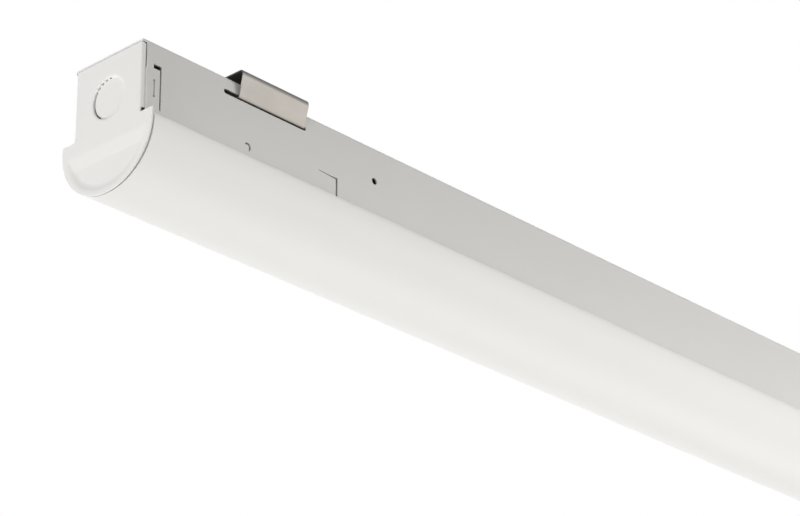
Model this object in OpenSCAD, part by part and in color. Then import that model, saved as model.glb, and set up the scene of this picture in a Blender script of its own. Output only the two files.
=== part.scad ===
/* [Overall] */
// Length over the two end plates
fixture_len = 1219; // [1100:1:1500]
// Outside width of the sheet steel channel
channel_w = 45; // [43:0.5:52]
// Height of the channel's side walls, from its back to the lens
channel_h = 35.5; // [34:0.5:45]
// Sheet thickness of the channel
channel_t = 0.8; // [0.6:0.1:1]
// Inside radius of every fold in sheet metal
fold_r = 0.7; // [0.5:0.1:1]

/* [Lens] */
// Reach of the end plate's lower half past each side wall
plate_reach = 6.1; // [5:0.1:9]
// How far the lens lies inside the end plate's outline
lens_inset = 0.3; // [0.2:0.1:0.6]
// Straight stretch at the top of the lens and of the end plate's lower half
lens_straight = 3.7; // [3.5:0.1:6]
// Depth of the elliptical crown below the straight stretch
lens_crown = 27.3; // [20:0.1:34]
// Wall thickness of the lens
lens_t = 2; // [1.2:0.1:2.4]
// Radius of the outer shoulder of the lens
lens_shoulder_r = 2.5; // [1.5:0.1:3]
// Thickness of the legs that grip the gear tray
leg_t = 1.1; // [0.8:0.1:1.3]
// Height of the legs above the shoulder
leg_h = 8.5; // [6:0.1:9]

/* [End plates] */
// Sheet thickness of the end plates
plate_t = 0.8; // [0.6:0.1:1]
// Length of the flanges folded in behind the side walls
flange_len = 8.6; // [7:0.1:8.8]
// Diameter of the conduit knockout
knockout_d = 22.2; // [16:0.1:24]
// Depth of the knockout's centre below the channel's back
knockout_z = 20.8; // [16:0.1:22]
// Depth to which a knockout slug is half sheared
shear_depth = 0.4; // [0.2:0.05:0.5]
// Width of the flat rim round the pressed recess
recess_rim = 2.8; // [2.5:0.1:5]
// Depth of the pressed recess
recess_depth = 0.8; // [0.3:0.1:1]
// Width of the sloping wall of the pressed recess
recess_slope = 2.6; // [1:0.1:4]

/* [Channel punching] */
// Length of the clip slot
slot_len = 50.8; // [46:0.1:70]
// Height of the clip slot
slot_h = 2.4; // [2.2:0.1:3]
// Distance from the fixture's end to the middle of the clip slot
slot_x = 72.5; // [60:0.5:80]
// Depth of the clip slot's middle below the channel's back
slot_z = 7.3; // [7:0.1:9]
// Distance from the fixture's end to the small side hole
side_hole_x = 142.4; // [135:0.1:200]
// Depth of the small side hole below the channel's back
side_hole_z = 17.3; // [12:0.1:20]
// Diameter of the small side hole
side_hole_d = 3.4; // [2.5:0.1:4.5]
// Distance between the two ceiling screw holes in the back
ceiling_hole_pitch = 914.4; // [700:0.1:920]
// Diameter of the ceiling screw holes
ceiling_hole_d = 6.5; // [4.5:0.1:8]

/* [Mounting clips] */
// Length of a clip along the fixture
clip_len = 40.6; // [30:0.1:42]
// Sheet thickness of the clips
clip_t = 0.8; // [0.6:0.1:1]
// Clear height of the clip's top plate above the channel's back
clip_lift = 4.7; // [2:0.1:8]
// Play left between a clip and the inner end of its slot
clip_play = 2; // [1:0.1:3]
// How far a clip's wings spread from foot to top
wing_spread = 2.6; // [1:0.1:5]
// Diameter of the screw hole in a clip
clip_hole_d = 4.8; // [4:0.1:6]

/* [Light engine] */
// Sheet thickness of the gear tray
tray_t = 0.6; // [0.5:0.1:0.8]
// Height of the gear tray's flanges
tray_h = 10; // [8:0.1:12]
// Height of the web's underside above the bottom of the channel
web_lift = 1.9; // [1.5:0.1:3]
// Width of the lamp boards
board_w = 18; // [12:0.5:22]
// Thickness of the lamp boards
board_t = 1.2; // [0.8:0.1:1.6]
// Gap between two lamp boards
board_gap = 12; // [8:0.5:20]
// Number of lamps on each board
lamps_per_board = 24; // [12:1:26]

/* [Driver] */
// Length of the driver's case
driver_len = 280; // [200:1:300]
// Width of the driver's case
driver_w = 30; // [26:0.5:32]
// Height of the driver's case
driver_h = 21; // [16:0.5:24]
// Distance from the fixture's middle to the driver's middle
driver_x = 230; // [200:1:250]

/* [Hidden] */

$fn = 32;
// One overrun for every cut that has to break through a surface
cut = 1;
// Steps of each sheet metal fold and of each quarter of the lens curve
fold_steps = 5;
crown_steps = 14;
// Sides of a wire and steps between two points of its route
wire_sides = 8;
wire_steps = 3;

// Clearances: between sheets that lie against each other, and between pieces that slide
lap_gap = 0.1;
slide_gap = 0.3;
end_gap = 0.2;

// Places that follow from the driving sizes
half_len = fixture_len / 2;
wall_in = channel_w / 2 - channel_t;
flange_out = wall_in - lap_gap;
flange_in = flange_out - plate_t;
leg_out = flange_in - slide_gap;
leg_in = leg_out - leg_t;
tray_out = leg_in - slide_gap;
plate_half = channel_w / 2 + plate_reach;
lens_half = plate_half - lens_inset;
lens_top = -channel_h - slide_gap;
lens_start = plate_t + recess_depth + end_gap;
leg_relief = 3;
web_under = web_lift - channel_h;
web_top = web_under + tray_t;

// End plate: the seam beside its fold, and the flange's upper edge
seam_back = 1.9;
seam_top_back = 2.4;
flange_top = 13.6;
flange_foot = 2.4;
plate_corner_r = 1.4;
recess_drop = 3.6;

// Lock punched beside the end plate: a relief, a long slit and a short stitch
relief_x = 5.7;
relief_len = 4.6;
relief_z = 10.6;
relief_h = 2.2;
slit_w = 0.9;
slit_foot = 3.5;
stitch_x = 6.2;
stitch_z = 22.4;
stitch_len = 7.6;
stitch_w = 0.6;
stitch_end_d = 1.2;

// Dimple and spring tab in each side wall
dimple_x = 61.9;
dimple_z = 29.8;
dimple_d = 4.2;
dimple_depth = 0.45;
dimple_gap = 0.45;
dimple_shear_start = -125;
dimple_shear_sweep = 160;
tab_x = 105.7;
tab_len = 12;
tab_slit = 0.8;
tab_top = 24.6;
tab_push = 0.8;

// Knockouts: where the shear starts, how far it runs, and the stitches that follow it
shear_start = -58;
shear_sweep = 94;
shear_gap = 0.55;
tie_angle = 7;
tie_pitch = 15;
tie_count = 4;

// Channel's back: knockouts, and the dish that holds the ground screw
back_knockout_x = 304.8;
ground_from_hole = 27.3;
ground_x = ceiling_hole_pitch / 2 + ground_from_hole;
dish_r = 8;
dish_slope = 2.5;
dish_depth = 3;
ground_shank_r = 2.1;
ground_flange_r = 4.8;
ground_flange_h = 1;
ground_head_af = 8;
ground_head_h = 3.4;
ground_tip = 1;
fit_gap = 0.05;

// Clips: fold line under the top, and the hooks inside the slot
clip_crease = 3.2;
clip_crease_in = 0.15;
clip_foot_out = 0.8;
clip_hook = 4.3;
clip_pilot_d = 3.5;
clip_pilot_y = 13;

// Gear tray: its ends, the tabs over the board edges, and the bushing hole
tray_back = 11;
board_margin = 30.5;
hook_shares = [0.2, 0.5, 0.8];
hook_w = 6;
hook_t = 0.6;
hook_reach = 1.2;
hook_window = 3;
bushing_hole_d = 9;
bushing_wall = 1.2;
bushing_back = 9;

// Lamps, board connectors and jumpers
lamp_w = 2.8;
lamp_l = 3.5;
lamp_h = 0.7;
lamp_margin = 17;
connector_l = 10;
connector_w = 9;
connector_h = 4;
connector_taper = 0.6;
pole_y = 2.2;
jumper_r = 0.8;
rivet_back = 24;
rivet_y = -5.6;
rivet_r = 1.5;
rivet_head_r = 2.8;
rivet_head_h = 1;
rivet_snap_h = 1.5;

// Driver's case, screws and bushings
case_t = 0.7;
ear_len = 12;
ear_hole_d = 4.4;
ear_hole_y = 12;
screw_r = 1.5;
screw_head_r = 3.6;
screw_head_h = 2.2;
screw_tip = 2;
lead_z = 7.5;
lead_y = 2.6;
lead_r = 1.25;
lead_straight = 4.5;
lead_drop = 34;
drop_share = 0.65;
lead_loop = 6;
lead_cross = 72;
lead_gather = 30;
rise_shares = [[-3.2, 0], [-1.8, 0.5], [-0.7, 0.85], [-0.1, 0.55]];
back_shares = [[-0.25, -0.9], [-1, -1.25], [-2, -0.75]];
entry_shares = [1, 0.5, 0];
feed_y = 1.6;
lead_side = 4;
bushing_r = 5;
bushing_flange_r = 5.8;
bushing_flange_t = 1;
bushing_nose = 3;

// Disconnect: plug and socket on the supply side
disconnect_x = -66;
plug_l = 22;
plug_w = 13;
plug_h = 9;
plug_nose = 8;
plug_wall = 1.4;
plug_round = 1;
socket_l = 26;
port_d = 3.2;
port_depth = 9;
contact_w = 1.6;
contact_t = 0.8;
contact_len = 5;

board_span = fixture_len - 2 * (tray_back + board_margin);
board_len = (board_span - 3 * board_gap) / 4;
feed_x = half_len - tray_back - bushing_back;
lead_rest_z = web_top + lead_r + slide_gap;

// Colours, as red, green and blue shares
paint_shares = [0.86, 0.86, 0.85];
black_shares = [0.1, 0.1, 0.1];
lens_shares = [0.95, 0.95, 0.94];
spring_shares = [0.66, 0.64, 0.6];
tray_shares = [0.93, 0.93, 0.92];
board_shares = [0.9, 0.91, 0.92];
lamp_shares = [0.95, 0.85, 0.35];

// Sheet metal outline: a band of thickness t about the line p, with every corner folded
function heading(a, b) = atan2(b[1] - a[1], b[0] - a[0]);
function wrapped(a) = a > 180 ? a - 360 : a < -180 ? a + 360 : a;
function turn(p, i) = wrapped(heading(p[i], p[i + 1]) - heading(p[i - 1], p[i]));
function along(h) = [cos(h), sin(h)];
function left_of(h) = [-sin(h), cos(h)];
function fold(p, i, r, t, s) =
    let (h = heading(p[i - 1], p[i]), a = turn(p, i), g = sign(a), m = r + t / 2,
         c = p[i] - m * tan(abs(a) / 2) * along(h) + g * m * left_of(h))
    [for (k = [0:fold_steps]) c + (s * t / 2 - g * m) * left_of(h + a * k / fold_steps)];
function edge_line(p, r, t, s) = let (n = len(p) - 1) concat(
    [p[0] + s * t / 2 * left_of(heading(p[0], p[1]))],
    [for (i = [1:n - 1]) each fold(p, i, r, t, s)],
    [p[n] + s * t / 2 * left_of(heading(p[n - 1], p[n]))]);
function reversed(p) = [for (i = [len(p) - 1:-1:0]) p[i]];
function sheet(p, r, t) = concat(edge_line(p, r, t, 1), reversed(edge_line(p, r, t, -1)));

// Lower outline shared by end plates and lens: straight sides and an elliptical crown
function crown(half, straight_z, depth) =
    [for (i = [0:2 * crown_steps])
        let (a = 90 * i / crown_steps) [-half * cos(a), straight_z - depth * sin(a)]];

// Wire of radius r swept along a smooth line through the points
function spline(p, i, f) =
    let (n = len(p) - 1, a = p[max(i - 1, 0)], b = p[i], c = p[min(i + 1, n)], d = p[min(i + 2, n)])
    0.5 * (2 * b + (c - a) * f + (2 * a - 5 * b + 4 * c - d) * f * f
        + (3 * b - a - 3 * c + d) * f * f * f);
function smooth(p, steps) = concat(
    [for (i = [0:len(p) - 2], k = [0:steps - 1]) spline(p, i, k / steps)], [p[len(p) - 1]]);
function unit(v) = v / norm(v);
function tangent(q, i) = let (n = len(q) - 1) i == 0 ? unit(q[1] - q[0])
    : i == n ? unit(q[n] - q[n - 1]) : unit(q[i + 1] - q[i - 1]);

module wire(points, r) {
    sides = wire_sides;
    q = smooth(points, wire_steps);
    rings = [for (i = [0:len(q) - 1])
        let (t = tangent(q, i), u = unit(cross(t, [0, 1, 0])), v = cross(t, u))
        [for (k = [0:sides - 1]) q[i] + r * (cos(360 * k / sides) * u + sin(360 * k / sides) * v)]];
    n = len(rings);
    points_all = [for (ring = rings) each ring];
    walls = [for (i = [0:n - 2], k = [0:sides - 1], half = [0, 1])
        let (a = i * sides + k, b = i * sides + (k + 1) % sides, c = a + sides, d = b + sides)
        half == 0 ? [a, b, d] : [a, d, c]];
    first = [[for (k = [0:sides - 1]) sides - 1 - k]];
    last = [[for (k = [0:sides - 1]) (n - 1) * sides + k]];
    polyhedron(points_all, concat(walls, first, last));
}

// Extrusions along the fixture, and copies at its two ends
module along_x(x0, x1) {
    translate([x0, 0, 0]) rotate([90, 0, 90]) linear_extrude(x1 - x0) children();
}

module near_end() {
    translate([-half_len, 0, 0]) children();
}

module far_end() {
    mirror([1, 0, 0]) near_end() children();
}

module both_ends() {
    near_end() children();
    far_end() children();
}

module both_sides() {
    children();
    mirror([0, 1, 0]) children();
}

module box_between(a, b) {
    translate(a) cube(b - a);
}

// Round bar across the fixture, for holes through both side walls
module cross_bar(x, z, d) {
    translate([x, 0, z]) rotate([90, 0, 0]) cylinder(d = d, h = channel_w + 2 * cut, center = true);
}

// Knockout: the slug's pocket, the slug's boss, and the arc sheared right through
module knockout_pocket(depth) {
    translate([0, 0, -cut]) cylinder(d = knockout_d, h = cut + depth);
}

module knockout_boss(sheet_t) {
    translate([0, 0, sheet_t]) cylinder(d = knockout_d - 2 * fit_gap, h = shear_depth);
}

module shear_arc(d, gap, start, sweep, sheet_t) {
    rotate(start) rotate_extrude(angle = sweep) translate([d / 2 + fit_gap - gap, -cut])
        square([gap, sheet_t + shear_depth + 2 * cut]);
}

module knockout_shear(sheet_t) {
    shear_arc(knockout_d, shear_gap, shear_start, shear_sweep, sheet_t);
    for (i = [0:tie_count - 1])
        shear_arc(knockout_d, shear_gap, shear_start + shear_sweep + tie_angle + i * tie_pitch,
            tie_pitch - tie_angle, sheet_t);
}

module channel_section() {
    c = channel_w / 2 - channel_t / 2;
    polygon(sheet([[-c, -channel_h], [-c, -channel_t / 2], [c, -channel_t / 2], [c, -channel_h]],
        fold_r, channel_t));
}

module end_lock_cut() {
    w = channel_w / 2 + cut;
    box_between([relief_x, -w, -relief_z - relief_h], [relief_x + relief_len, w, -relief_z]);
    box_between([relief_x + relief_len - slit_w, -w, slit_foot - channel_h],
        [relief_x + relief_len, w, -relief_z]);
    stitch_cut(w);
}

module stitch_cut(w) {
    z0 = -stitch_z - stitch_len / 2;
    z1 = -stitch_z + stitch_len / 2;
    box_between([stitch_x - stitch_w / 2, -w, z0], [stitch_x + stitch_w / 2, w, z1]);
    cross_bar(stitch_x, z0, stitch_end_d);
    cross_bar(stitch_x, z1, stitch_end_d);
}

module clip_slot_cut() {
    w = channel_w / 2 + cut;
    run = slot_len - slot_h;
    box_between([slot_x - run / 2, -w, -slot_z - slot_h / 2], [slot_x + run / 2, w, -slot_z + slot_h / 2]);
    for (x = [slot_x - run / 2, slot_x + run / 2]) cross_bar(x, -slot_z, slot_h);
}

module seam_cut() {
    w = channel_w / 2 + cut;
    fold_z = -channel_t - fold_r;
    box_between([-cut, -w, -channel_h - cut], [seam_back, w, fold_z]);
    box_between([-cut, -w, -flange_top], [seam_top_back, w, fold_z]);
}

module tab_window() {
    w = channel_w / 2 + cut;
    box_between([tab_x, -w, -channel_h - cut], [tab_x + tab_len + tab_slit, w, -tab_top]);
}

module spring_tab() {
    y = -channel_w / 2;
    x1 = tab_x + tab_len;
    translate([0, 0, -channel_h]) linear_extrude(channel_h - tab_top - tab_slit) polygon([[tab_x, y],
        [x1, y + tab_push], [x1, y + tab_push + channel_t], [tab_x, y + channel_t]]);
}

module dimple_pocket() {
    translate([dimple_x, -channel_w / 2, -dimple_z]) rotate([-90, 0, 0])
        translate([0, 0, -cut]) cylinder(d = dimple_d, h = cut + dimple_depth);
}

// The upper inner half of a dimple's edge is sheared open
module dimple_shear() {
    translate([dimple_x, -channel_w / 2, -dimple_z]) rotate([-90, 0, 0])
        shear_arc(dimple_d, dimple_gap, dimple_shear_start, dimple_shear_sweep, channel_t);
}

module dimple_boss() {
    translate([dimple_x, -wall_in, -dimple_z]) rotate([-90, 0, 0])
        cylinder(d = dimple_d - 2 * fit_gap, h = dimple_depth);
}

// Dish pressed into the back, so that the ground screw's tip stays inside
module ground_dish() {
    rotate_extrude() polygon([[ground_shank_r + fit_gap, -dish_depth], [dish_r - dish_slope, -dish_depth],
        [dish_r, 0], [dish_r + channel_t, 0], [dish_r + channel_t, -channel_t],
        [dish_r - dish_slope + channel_t / 2, -dish_depth - channel_t],
        [ground_shank_r + fit_gap, -dish_depth - channel_t]]);
}

module channel() {
    color(paint_shares) {
        difference() {
            union() {
                along_x(-half_len, half_len) channel_section();
                both_ends() both_sides() dimple_boss();
                for (x = [-back_knockout_x, back_knockout_x])
                    translate([x, 0, 0]) mirror([0, 0, 1]) knockout_boss(channel_t);
            }
            both_ends() {
                seam_cut();
                end_lock_cut();
                clip_slot_cut();
                tab_window();
                cross_bar(side_hole_x, -side_hole_z, side_hole_d);
                both_sides() {
                    dimple_pocket();
                    dimple_shear();
                }
            }
            for (x = [-back_knockout_x, back_knockout_x]) translate([x, 0, 0]) mirror([0, 0, 1]) {
                knockout_pocket(shear_depth);
                knockout_shear(channel_t);
            }
            for (x = [-ceiling_hole_pitch / 2, ceiling_hole_pitch / 2])
                translate([x, 0, -channel_t - cut]) cylinder(d = ceiling_hole_d, h = channel_t + 2 * cut);
            translate([-ground_x, 0, -channel_t - cut])
                cylinder(r = dish_r + channel_t / 2, h = channel_t + 2 * cut);
        }
        both_ends() both_sides() spring_tab();
        translate([-ground_x, 0, 0]) ground_dish();
    }
}

// End plate: folded upper half, crowned lower half with a pressed recess
module plate_fold_section() {
    c = flange_out - plate_t / 2;
    polygon(sheet([[flange_len, -c], [plate_t / 2, -c], [plate_t / 2, c], [flange_len, c]],
        fold_r, plate_t));
}

module plate_lower_outline() {
    polygon(concat([[-flange_in, flange_foot - channel_h], [-flange_in, -channel_h],
        [-plate_half, -channel_h]], crown(plate_half, -channel_h - lens_straight, lens_crown),
        [[plate_half, -channel_h], [flange_in, -channel_h], [flange_in, flange_foot - channel_h]]));
}

module recess_outline(inset) {
    half = plate_half - recess_rim - inset;
    deep = lens_crown - recess_rim - inset;
    start = asin((recess_drop + inset) / deep);
    polygon([for (i = [0:2 * crown_steps]) let (a = start + (90 - start) * i / crown_steps)
        [-half * cos(a), -channel_h - lens_straight - deep * sin(a)]]);
}

module recess_wedge(x0) {
    hull() {
        along_x(x0, x0 + fit_gap) recess_outline(0);
        along_x(x0 + recess_depth - fit_gap, x0 + recess_depth) recess_outline(recess_slope);
    }
}

module end_plate() {
    top = -channel_t - slide_gap;
    difference() {
        union() {
            translate([0, 0, flange_foot - channel_h])
                linear_extrude(channel_h - flange_foot + top) plate_fold_section();
            along_x(0, plate_t) plate_lower_outline();
            translate([0, 0, -knockout_z]) rotate([90, 0, 90]) knockout_boss(plate_t);
            recess_wedge(plate_t);
        }
        box_between([seam_back - lap_gap, -channel_w, -flange_top], [flange_len + cut, channel_w, cut]);
        stitch_cut(channel_w / 2);
        translate([0, 0, -knockout_z]) rotate([90, 0, 90]) {
            knockout_pocket(shear_depth);
            knockout_shear(plate_t);
        }
        both_sides() corner_cut(top);
        recess_wedge(0);
        along_x(-cut, fit_gap / 2) recess_outline(0);
    }
}

// Rounds the upper corners of the end plate
module corner_cut(top) {
    y = flange_out - plate_corner_r;
    z = top - plate_corner_r;
    difference() {
        box_between([-cut, y, z], [seam_back + cut, flange_out + cut, top + cut]);
        translate([-2 * cut, y, z]) rotate([0, 90, 0]) cylinder(r = plate_corner_r, h = seam_back + 4 * cut);
    }
}

module end_plate_near() {
    color(paint_shares) near_end() end_plate();
}

module end_plate_far() {
    color(paint_shares) far_end() end_plate();
}

module ground_screw() {
    seat = -dish_depth - channel_t;
    color("seagreen") translate([-ground_x, 0, 0]) {
        translate([0, 0, seat - ground_flange_h]) cylinder(r = ground_flange_r, h = ground_flange_h);
        translate([0, 0, seat - ground_flange_h - ground_head_h])
            cylinder(d = ground_head_af / cos(30), h = ground_head_h + fit_gap, $fn = 6);
        translate([0, 0, seat - fit_gap]) cylinder(r = ground_shank_r, h = -seat - ground_tip + fit_gap);
    }
}

// Spring clip: top plate, wings that lean in, and hooks that pass through the slots
module clip_section() {
    foot_y = channel_w / 2 + clip_foot_out;
    top_y = foot_y + wing_spread;
    top_z = clip_lift + clip_t / 2;
    foot_z = slide_gap + clip_t / 2 - slot_z - slot_h / 2;
    crease_z = top_z - clip_crease;
    hook_y = foot_y - clip_foot_out - clip_hook;
    half = [[hook_y, foot_z], [foot_y, foot_z], [top_y - clip_crease_in, crease_z], [top_y, top_z]];
    other = [for (p = reversed(half)) [-p[0], p[1]]];
    polygon(sheet(concat(half, other), fold_r, clip_t));
}

module mounting_clip() {
    x1 = slot_x + slot_len / 2 - clip_play;
    difference() {
        along_x(x1 - clip_len, x1) clip_section();
        translate([x1 - clip_len / 2, 0, clip_lift - cut]) {
            cylinder(d = clip_hole_d, h = clip_t + 2 * cut);
            for (y = [-clip_pilot_y, clip_pilot_y])
                translate([0, y, 0]) cylinder(d = clip_pilot_d, h = clip_t + 2 * cut);
        }
    }
}

module mounting_clip_near() {
    color(spring_shares) near_end() mounting_clip();
}

module mounting_clip_far() {
    color(spring_shares) far_end() mounting_clip();
}

// Places of the lamp boards, counted from the near end
function board_start(i) = -board_span / 2 + i * (board_len + board_gap);
function rivet_place(i) = i % 2 == 0 ? board_start(i) + rivet_back
    : board_start(i) + board_len - rivet_back;
function driver_side(s) = driver_x + s * (driver_len / 2 + ear_len / 2);

module tray_section() {
    c = tray_out - tray_t / 2;
    z = web_under + tray_t / 2;
    polygon(sheet([[-c, web_under + tray_h], [-c, z], [c, z], [c, web_under + tray_h]], fold_r, tray_t));
}

module board_hook() {
    y0 = board_w / 2 + lap_gap;
    z0 = web_under - board_t - lap_gap;
    box_between([-hook_w / 2, y0, z0 - hook_t], [hook_w / 2, y0 + hook_t, web_top]);
    box_between([-hook_w / 2, y0 - hook_reach, z0 - hook_t], [hook_w / 2, y0 + hook_t, z0]);
}

module gear_tray() {
    color(tray_shares) {
        difference() {
            along_x(tray_back - half_len, half_len - tray_back) tray_section();
            for (i = [0:3], s = hook_shares)
                translate([board_start(i) + s * board_len, 0, 0]) both_sides()
                    box_between([-hook_w / 2, board_w / 2 - hook_window, web_under - cut],
                        [hook_w / 2, board_w / 2 + lap_gap, web_top + cut]);
            for (i = [0:3])
                translate([rivet_place(i), rivet_y, web_under - cut])
                    cylinder(r = rivet_r + fit_gap, h = tray_t + 2 * cut);
            for (s = [-1, 1])
                translate([driver_side(s), s * ear_hole_y, web_under - cut])
                    cylinder(r = screw_r + fit_gap, h = tray_t + 2 * cut);
            translate([feed_x, 0, web_under - cut]) cylinder(d = bushing_hole_d, h = tray_t + 2 * cut);
        }
        for (i = [0:3], s = hook_shares)
            translate([board_start(i) + s * board_len, 0, 0]) both_sides() board_hook();
    }
}

module led_board(i) {
    color(board_shares) difference() {
        box_between([board_start(i), -board_w / 2, web_under - board_t],
            [board_start(i) + board_len, board_w / 2, web_under]);
        translate([rivet_place(i), rivet_y, web_under - board_t - cut])
            cylinder(r = rivet_r + fit_gap, h = board_t + 2 * cut);
    }
}

module led_chips(i) {
    run = board_len - 2 * lamp_margin;
    z = web_under - board_t;
    color(lamp_shares) for (k = [0:lamps_per_board - 1])
        translate([board_start(i) + lamp_margin + run * k / (lamps_per_board - 1), 0, 0])
            box_between([-lamp_l / 2, -lamp_w / 2, z - lamp_h], [lamp_l / 2, lamp_w / 2, z]);
}

// Poke-in connector whose mouth faces the end of its board
module board_connector() {
    w = connector_w / 2;
    rotate([90, 0, 90]) linear_extrude(connector_l) polygon([[-w, 0], [w, 0],
        [w - connector_taper, -connector_h], [connector_taper - w, -connector_h]]);
}

module board_connectors() {
    color("white") for (i = [0:3]) translate([board_start(i), 0, web_under - board_t]) {
        board_connector();
        translate([board_len - connector_l, 0, 0]) board_connector();
    }
}

module board_jumpers() {
    z = web_under - board_t - connector_h / 2;
    color("gainsboro") for (i = [0:2], y = [-pole_y, pole_y])
        translate([board_start(i) + board_len, y, z]) rotate([0, 90, 0])
            cylinder(r = jumper_r, h = board_gap);
}

module board_rivets() {
    under = web_under - board_t;
    color("white") for (i = [0:3]) translate([rivet_place(i), rivet_y, 0]) rotate_extrude() polygon([
        [0, under - rivet_head_h], [rivet_head_r - rivet_head_h / 2, under - rivet_head_h],
        [rivet_head_r, under - rivet_head_h / 2], [rivet_head_r, under], [rivet_r, under],
        [rivet_r, web_top], [rivet_r + rivet_head_h / 2, web_top + rivet_head_h / 2],
        [rivet_r / 2, web_top + rivet_snap_h], [0, web_top + rivet_snap_h]]);
}

// Snap bushing that guards the output leads at the web
module tray_bushing() {
    r = bushing_hole_d / 2 - fit_gap;
    bore = r - bushing_wall;
    rim = bushing_flange_t;
    color("dimgray") translate([feed_x, 0, 0]) rotate_extrude() polygon([
        [bore, web_under - rim], [r + rim, web_under - rim], [r + rim, web_under], [r, web_under],
        [r, web_top], [r + rim / 2, web_top + rim / 2], [r, web_top + rim], [bore, web_top + rim]]);
}

// Driver: a pan with two ears, and a cover that closes it
module driver_base() {
    w = driver_w / 2 - case_t - lap_gap;
    z = web_top;
    color("lightgray") translate([driver_x, 0, 0]) difference() {
        union() {
            box_between([-driver_len / 2 - ear_len, -driver_w / 2, z],
                [driver_len / 2 + ear_len, driver_w / 2, z + case_t]);
            both_sides() box_between([case_t - driver_len / 2 + lap_gap, w - case_t, z],
                [driver_len / 2 - case_t - lap_gap, w, z + driver_h / 2]);
        }
        for (s = [-1, 1]) translate([s * (driver_len + ear_len) / 2, s * ear_hole_y, z - cut])
            cylinder(d = ear_hole_d, h = case_t + 2 * cut);
    }
}

module driver_cover() {
    w = driver_w / 2;
    z = web_top + case_t;
    l = driver_len / 2;
    top = web_top + driver_h;
    color("silver") translate([driver_x, 0, 0]) difference() {
        box_between([-l, -w, z], [l, w, top]);
        box_between([case_t - l, case_t - w, z - cut], [l - case_t, w - case_t, top - case_t]);
        translate([0, 0, web_top + lead_z]) rotate([0, 90, 0])
            cylinder(r = bushing_r + fit_gap, h = driver_len + 2 * cut, center = true);
    }
}

module driver_screws() {
    color("silver") for (s = [-1, 1]) translate([driver_side(s), s * ear_hole_y, web_top + case_t])
        rotate_extrude() polygon([[0, -case_t - tray_t - screw_tip], [screw_r, -case_t - tray_t - screw_tip],
            [screw_r, 0], [screw_head_r, 0], [screw_head_r, screw_head_h / 2],
            [screw_head_r / 2, screw_head_h], [0, screw_head_h]]);
}

module driver_bushings() {
    z = web_top + lead_z;
    f = bushing_flange_t;
    color("dimgray") for (s = [-1, 1]) translate([driver_x, 0, z]) mirror([s < 0 ? 1 : 0, 0, 0])
        translate([driver_len / 2, 0, 0]) rotate([0, 90, 0]) difference() {
            rotate_extrude() polygon([[0, -case_t - f], [bushing_r, -case_t - f], [bushing_r, 0],
                [bushing_flange_r, 0], [bushing_flange_r, f], [bushing_r, f + bushing_nose],
                [0, f + bushing_nose]]);
            for (y = [-lead_y, lead_y]) translate([0, y, -case_t - f - cut])
                cylinder(r = lead_r + fit_gap, h = f + bushing_nose + case_t + f + 2 * cut);
        }
}

// Leads leave their port straight, drop to the tray's web and lie along it
function lead_out(x, y, z, s, y_rest) = [[x, y, z], [x + s * lead_straight, y, z],
    [x + 2 * s * lead_straight, y, z],
    [x + s * lead_drop * drop_share, (y + y_rest) / 2, lead_rest_z + lead_r],
    [x + s * lead_drop, y_rest, lead_rest_z], [x + 2 * s * lead_drop, y_rest, lead_rest_z]];

module line_lead(y, y_rest) {
    x = driver_x - driver_len / 2;
    out = lead_out(x, y, web_top + lead_z, -1, y_rest);
    into = lead_out(disconnect_x, y, web_top + plug_h / 2, 1, y_rest);
    wire(concat(out, reversed(into)), lead_r);
}

module line_lead_black() {
    color(black_shares) line_lead(lead_y, lead_y + lead_side);
}

module line_lead_white() {
    color("whitesmoke") line_lead(-lead_y, lead_y);
}

// The output leads pass down through the web's bushing and turn back to the last board
module output_lead(y, y_rest, y_feed, y_pole) {
    x = driver_x + driver_len / 2;
    end_x = board_start(3) + board_len;
    end_z = web_under - board_t - connector_h / 2;
    wire(concat(lead_out(x, y, web_top + lead_z, 1, y_rest),
        [[feed_x - lead_cross, y_rest, lead_rest_z], [feed_x - lead_gather, y_feed, lead_rest_z]],
        [for (p = rise_shares) [feed_x + p[0] * lead_loop, y_feed, lead_rest_z + p[1] * lead_loop]],
        [[feed_x, y_feed, web_top], [feed_x, y_feed, web_under - bushing_flange_t]],
        [for (p = back_shares) [feed_x + p[0] * lead_loop, y_feed, web_under + p[1] * lead_loop]],
        [for (k = entry_shares) [end_x + k * lead_straight, y_pole, end_z]]), lead_r);
}

module output_lead_red() {
    color("firebrick") output_lead(lead_y, lead_y + lead_side, feed_y, pole_y);
}

module output_lead_blue() {
    color("royalblue") output_lead(-lead_y, lead_y, -feed_y, -pole_y);
}

// Disconnect halves: a nose with two contacts pushed into a hollow socket
module rounded_bar(l, w, h) {
    r = plug_round;
    rotate([90, 0, 90]) linear_extrude(l) union() {
        translate([-w / 2 + r, 0]) square([w - 2 * r, h]);
        translate([-w / 2, r]) square([w, h - 2 * r]);
        for (y = [-w / 2 + r, w / 2 - r], z = [r, h - r]) translate([y, z]) circle(r);
    }
}

module disconnect_plug() {
    w = plug_w - 2 * plug_wall - 2 * slide_gap;
    h = plug_h - 2 * plug_wall - 2 * slide_gap;
    l = plug_l - plug_nose;
    color("orange") translate([disconnect_x - l, 0, web_top]) {
        rounded_bar(l, plug_w, plug_h);
        translate([-plug_nose, -w / 2, plug_wall + slide_gap]) cube([plug_nose + cut, w, h]);
    }
}

module disconnect_contacts() {
    x = disconnect_x - plug_l;
    z = web_top + plug_h / 2;
    color("gold") for (y = [-lead_y, lead_y])
        box_between([x - contact_len, y - contact_w / 2, z - contact_t / 2],
            [x, y + contact_w / 2, z + contact_t / 2]);
}

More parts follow.
